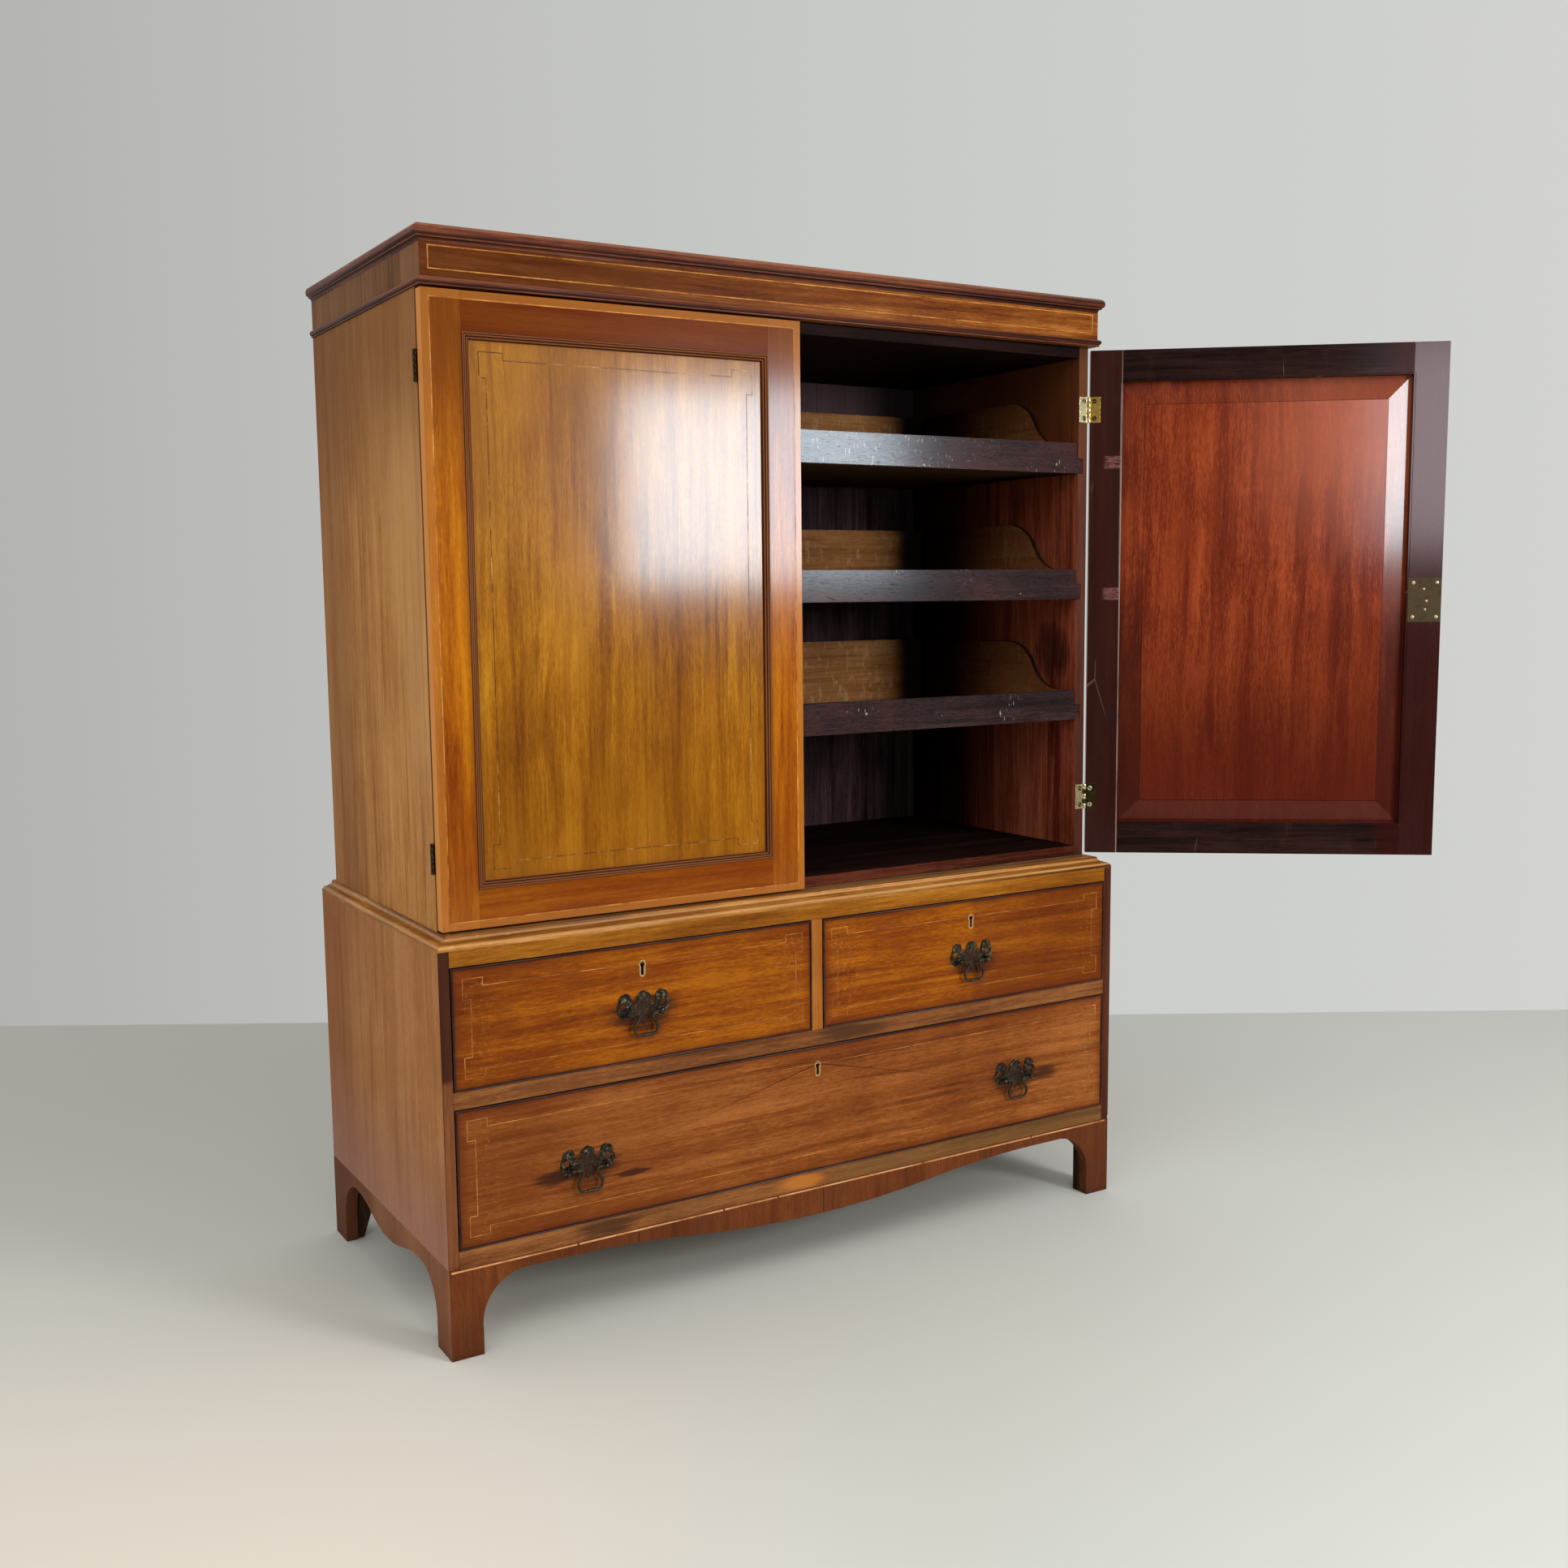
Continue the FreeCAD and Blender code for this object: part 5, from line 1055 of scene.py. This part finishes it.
def dress_chest():
    for side, sign in SIDES:
        dress("chest_side_" + side, chest_side_finish(sign))
    dress("drawer_rails", rails_finish())
    pale = ((126, 68, 12), (156, 92, 22), (186, 122, 44))
    dress("muntin", plain_wood("muntin_polish", "z", pale, 0.3, 0.3, 0.6))
    golden = ((100, 52, 14), (142, 86, 26), (190, 130, 60))
    # the last colour is for the worn arrises and their painted highlight
    waist = moulding_finish("waist_polish", golden, CHEST_HALF, CHEST_FRONT, (226, 178, 118))
    dress("waist_moulding", waist)
    # the last colour of each bracket finish serves its darker leaves and its painted shade
    apron = ((68, 30, 11), (97, 48, 20), (128, 72, 34))
    dress("front_bracket_board", bracket_finish("apron_veneer", apron, (78, 40, 24)))
    side_apron = ((108, 66, 42), (138, 90, 62), (162, 114, 82))
    dress("side_brackets", bracket_finish("side_apron_veneer", side_apron, (88, 46, 28)))


def dress_drawers():
    short_tones = ((86, 32, 2), (128, 61, 2), (172, 100, 7))
    long_tones = ((88, 38, 10), (128, 68, 23), (166, 100, 46))
    for drawer, tones in zip(DRAWERS, (short_tones, short_tones, long_tones)):
        dress(drawer + "_front", drawer_front_finish(drawer, tones))
        dress(drawer + "_fittings", fittings_finish(drawer))
    black = ((26, 12, 10), (50, 24, 18), (84, 46, 32))
    bead = plain_wood("cockbead_polish", "x", black, 0.2, 0.5, 0.7, 0.2)
    dress([drawer + "_cockbead" for drawer in DRAWERS], bead)
    brass = metal_finish("bolt_brass", BRIGHT, (130, 98, 40), 0.16)
    dress(["right_door_lock_bolt"] + [drawer + "_bolt" for drawer in DRAWERS], brass)
    bronze = metal_finish("bail_bronze", (70, 60, 44), (20, 17, 13), 0.18, 0.88, 0.9, 0.3 * MM)
    dress([name for name in nodes if name.endswith("bail")], bronze)


def dress_hidden():
    blocks = plain_wood("raw_blocks", "z", RAW_BLOCKS, 0.5, 0.0)
    boards = plain_wood("raw_pine", "x", RAW_PINE, 0.5, 0.0)
    dress(("rear_brackets", "foot_blocks"), blocks)
    dress(("chest_floor_boards", "drawer_bearers", "chest_top_board", "cornice_dust_board"), boards)
    dress("chest_back_boards", plain_wood("raw_back", "z", RAW_PINE, 0.5, 0.0))


def soften_all():
    """Eases the sharp edges of the nodes, as planes, scrapers and hands do."""
    for name, piece in nodes.items():
        weld = piece.modifiers.new("joined_corners", "WELD")
        weld.merge_threshold = 0.01 * MM
        ease = piece.modifiers.new("eased_edges", "BEVEL")
        ease.width = METAL_SOFTENING if any(word in name for word in METAL_NODES) else EDGE_SOFTENING
        ease.segments = 2
        ease.limit_method = "ANGLE"
        ease.angle_limit = math.radians(35)


# ---- floor, light and camera
CAMERA_PLACE = Vector((-1.37765, -2.44812, 1.10456))
CAMERA_YAW, CAMERA_PITCH, CAMERA_ROLL = (math.radians(a) for a in (-31.218, -6.748, -0.601))
IMAGE_SIDE = 1932
FOCAL_PIXELS = 1984.38
CENTRE_PIXEL = (958.44, 967.59)
SENSOR_W = 36
AWAY = Vector((-math.sin(CAMERA_YAW), math.cos(CAMERA_YAW), 0))
ACROSS = Vector((AWAY.y, -AWAY.x, 0))
LEAST_DEPTH = 0.3
WALL_POINT = Vector((0.772, 1.08, 0.0))
# wall tones from left to right, darker on the left: painted shade
WALL_TONES = ((178, 179, 176), (192, 193, 190), (201, 203, 200), (210, 211, 208))
WALL_STOPS = (0.0, 0.3, 0.6, 1.0)
FLOOR_REACH = 4.4
AMBIENT = 0.36
AMBIENT_TINT = (1.0, 0.99, 0.97, 1.0)
ABOVE_EXTRA = 0.26
LEFT_EXTRA = 0.4
FRONT_DIMMING = 0.92
LAMP_TINT = (1.0, 0.995, 0.985)
# name, place, point it aims at, size, radiance; those that mirror in the polish have a tint too
LAMPS = (
    ("key", (1.4, -3.6, 1.65), (0.0, -0.3, 1.0), (0.8, 0.9), 29.0),
    ("left_fill", (-3.0, -3.0, 2.2), (0.2, 0.0, 0.8), (2.4, 2.0), 1.6),
    ("low_fill", (0.4, -4.2, 0.7), (0.0, -0.3, 0.3), (3.6, 1.2), 0.7),
    ("ceiling", (0.2, -2.4, 3.0), (0.0, -1.6, 0.0), (3.0, 1.6), 2.2),
)
MIRRORED_LAMPS = (
    ("window", (1.93, -3.6, 1.53), (0.4, -0.3, 1.53), (1.1, 0.76), 18.0, (0.86, 1.0, 1.11)),
    ("far_window", (0.35, -6.0, 1.8), (0.8, -0.3, 1.8), (0.7, 1.0), 24.0, (0.78, 0.98, 1.05)),
    ("curtain", (-1.2, -6.0, 1.85), (0.7, -0.3, 1.85), (0.6, 1.1), 8.0, (0.88, 0.75, 0.81)),
)


def make_camera():
    data = bpy.data.cameras.new("camera")
    camera = add("camera", data)
    turn = Matrix.Rotation(CAMERA_YAW, 4, "Z") @ Matrix.Rotation(math.pi / 2 + CAMERA_PITCH, 4, "X")
    camera.matrix_world = Matrix.Translation(CAMERA_PLACE) @ turn @ Matrix.Rotation(CAMERA_ROLL, 4, "Z")
    data.sensor_width = SENSOR_W
    data.lens = FOCAL_PIXELS / IMAGE_SIDE * SENSOR_W
    data.shift_x = (IMAGE_SIDE / 2 - CENTRE_PIXEL[0]) / IMAGE_SIDE
    data.shift_y = (CENTRE_PIXEL[1] - IMAGE_SIDE / 2) / IMAGE_SIDE
    bpy.context.scene.camera = camera


def wall_tone(work, sideways):
    """Pale grey wall, with painted shade making it a little darker on the left."""
    return work.ramp(sideways + 0.5, *zip(WALL_STOPS, WALL_TONES))


def make_floor():
    """Round pale floor. Behind the wall's foot, and far out, it shows the wall's tone."""
    ring = bmesh.new()
    bmesh.ops.create_circle(ring, cap_ends=True, segments=64, radius=FLOOR_REACH)
    floor = add_mesh("floor", ring, floor_finish())


def floor_finish():
    work = Finish("floor_paint")
    depth = (work.x - WALL_POINT.x) * AWAY.x + (work.y - WALL_POINT.y) * AWAY.y
    near = (work.x - CAMERA_PLACE.x) * AWAY.x + (work.y - CAMERA_PLACE.y) * AWAY.y
    sideways = (work.x - CAMERA_PLACE.x) * ACROSS.x + (work.y - CAMERA_PLACE.y) * ACROSS.y
    clouds = work.pattern(1.4, 3, 0.6)
    tone = work.layers(
        (200, 204, 198),
        (clouds * 0.5, (210, 211, 204)),
        # painted light: paler near the camera on the left
        (near.between(2.8, 1.6) * sideways.between(0.35, -0.6), (230, 222, 210)),
        # painted shade: darker far off on the left
        (depth.between(-2.2, -0.4) * sideways.between(0.3, -1.6) * 0.55, (186, 182, 172)),
        # painted shade: a dark stretch far in front, for the polish to mirror
        (work.y.between(-2.8, -3.3), (60, 58, 54)),
    )
    from_middle = (work.x * work.x + work.y * work.y).maths("SQRT")
    beyond = depth.between(-0.004, 0.004) | from_middle.between(FLOOR_REACH * 0.66, FLOOR_REACH * 0.8)
    show_wall(work, beyond, wall_tone(work, sideways / (near | LEAST_DEPTH)))
    return work.finished(tone, clouds, 1 * MM, Roughness=clouds * 0.1 + 0.6)


def show_wall(work, beyond, tone):
    """Lets the camera alone see the wall's tone beyond the edge of the floor."""
    glow = work.node("Emission", {"Color": tone})
    seen = work.node("LightPath")
    paint = Field(work, work.shader.outputs[0])
    blend = work.node("MixShader", {0: beyond * seen, 1: paint, 2: glow})
    work.feed(work.tree.nodes["Material Output"].inputs["Surface"], blend)


def make_room():
    """Pale wall for the camera; light from above, from the left and from the wall."""
    world = bpy.data.worlds.new("room")
    bpy.context.scene.world = world
    world.use_nodes = True
    world.node_tree.nodes.clear()
    room = Shading(world.node_tree)
    x, y, z = room.parts(room.node("TexCoord"))
    above = z.between(0.05, 0.6)
    in_front = (-y).between(-0.2, 0.45) * (1 - above)
    to_left = (-x).between(0.0, 0.9)
    strength = (AMBIENT + above * ABOVE_EXTRA + to_left * LEFT_EXTRA) * (1 - in_front * FRONT_DIMMING)
    light = room.node("Background", {"Color": AMBIENT_TINT, "Strength": strength})
    ahead = x * AWAY.x + y * AWAY.y
    sideways = x * ACROSS.x + y * ACROSS.y
    wall = room.node("Background", {"Color": wall_tone(room, sideways / (ahead | LEAST_DEPTH))})
    seen = room.node("LightPath")
    choice = room.node("MixShader", {0: seen, 1: light, 2: wall})
    room.node("OutputWorld", {"Surface": choice}, output=None)


def make_lamp(name, place, aim, size, radiance, tint=LAMP_TINT):
    """Soft rectangular lamp, given by how bright its face is."""
    data = bpy.data.lights.new(name, "AREA")
    data.shape = "RECTANGLE"
    data.size, data.size_y = size
    data.energy = radiance * math.pi * size[0] * size[1]
    data.color = tint
    lamp = add(name, data)
    lamp.location = place
    lamp.rotation_mode = "QUATERNION"
    lamp.rotation_quaternion = (Vector(aim) - Vector(place)).to_track_quat("-Z", "Y")
    return lamp


def make_lamps():
    """Four soft lamps light the press; two windows and a pale curtain only mirror in its polish."""
    for settings in LAMPS:
        make_lamp(*settings).visible_glossy = False
    for settings in MIRRORED_LAMPS:
        make_lamp(*settings).visible_diffuse = False


dress_doors()
dress_cupboard()
dress_trays_and_boxes()
dress_chest()
dress_drawers()
dress_hidden()
make_strings()
make_screws()
soften_all()
make_camera()
make_floor()
make_room()
make_lamps()
bpy.context.scene.view_settings.view_transform = "Standard"
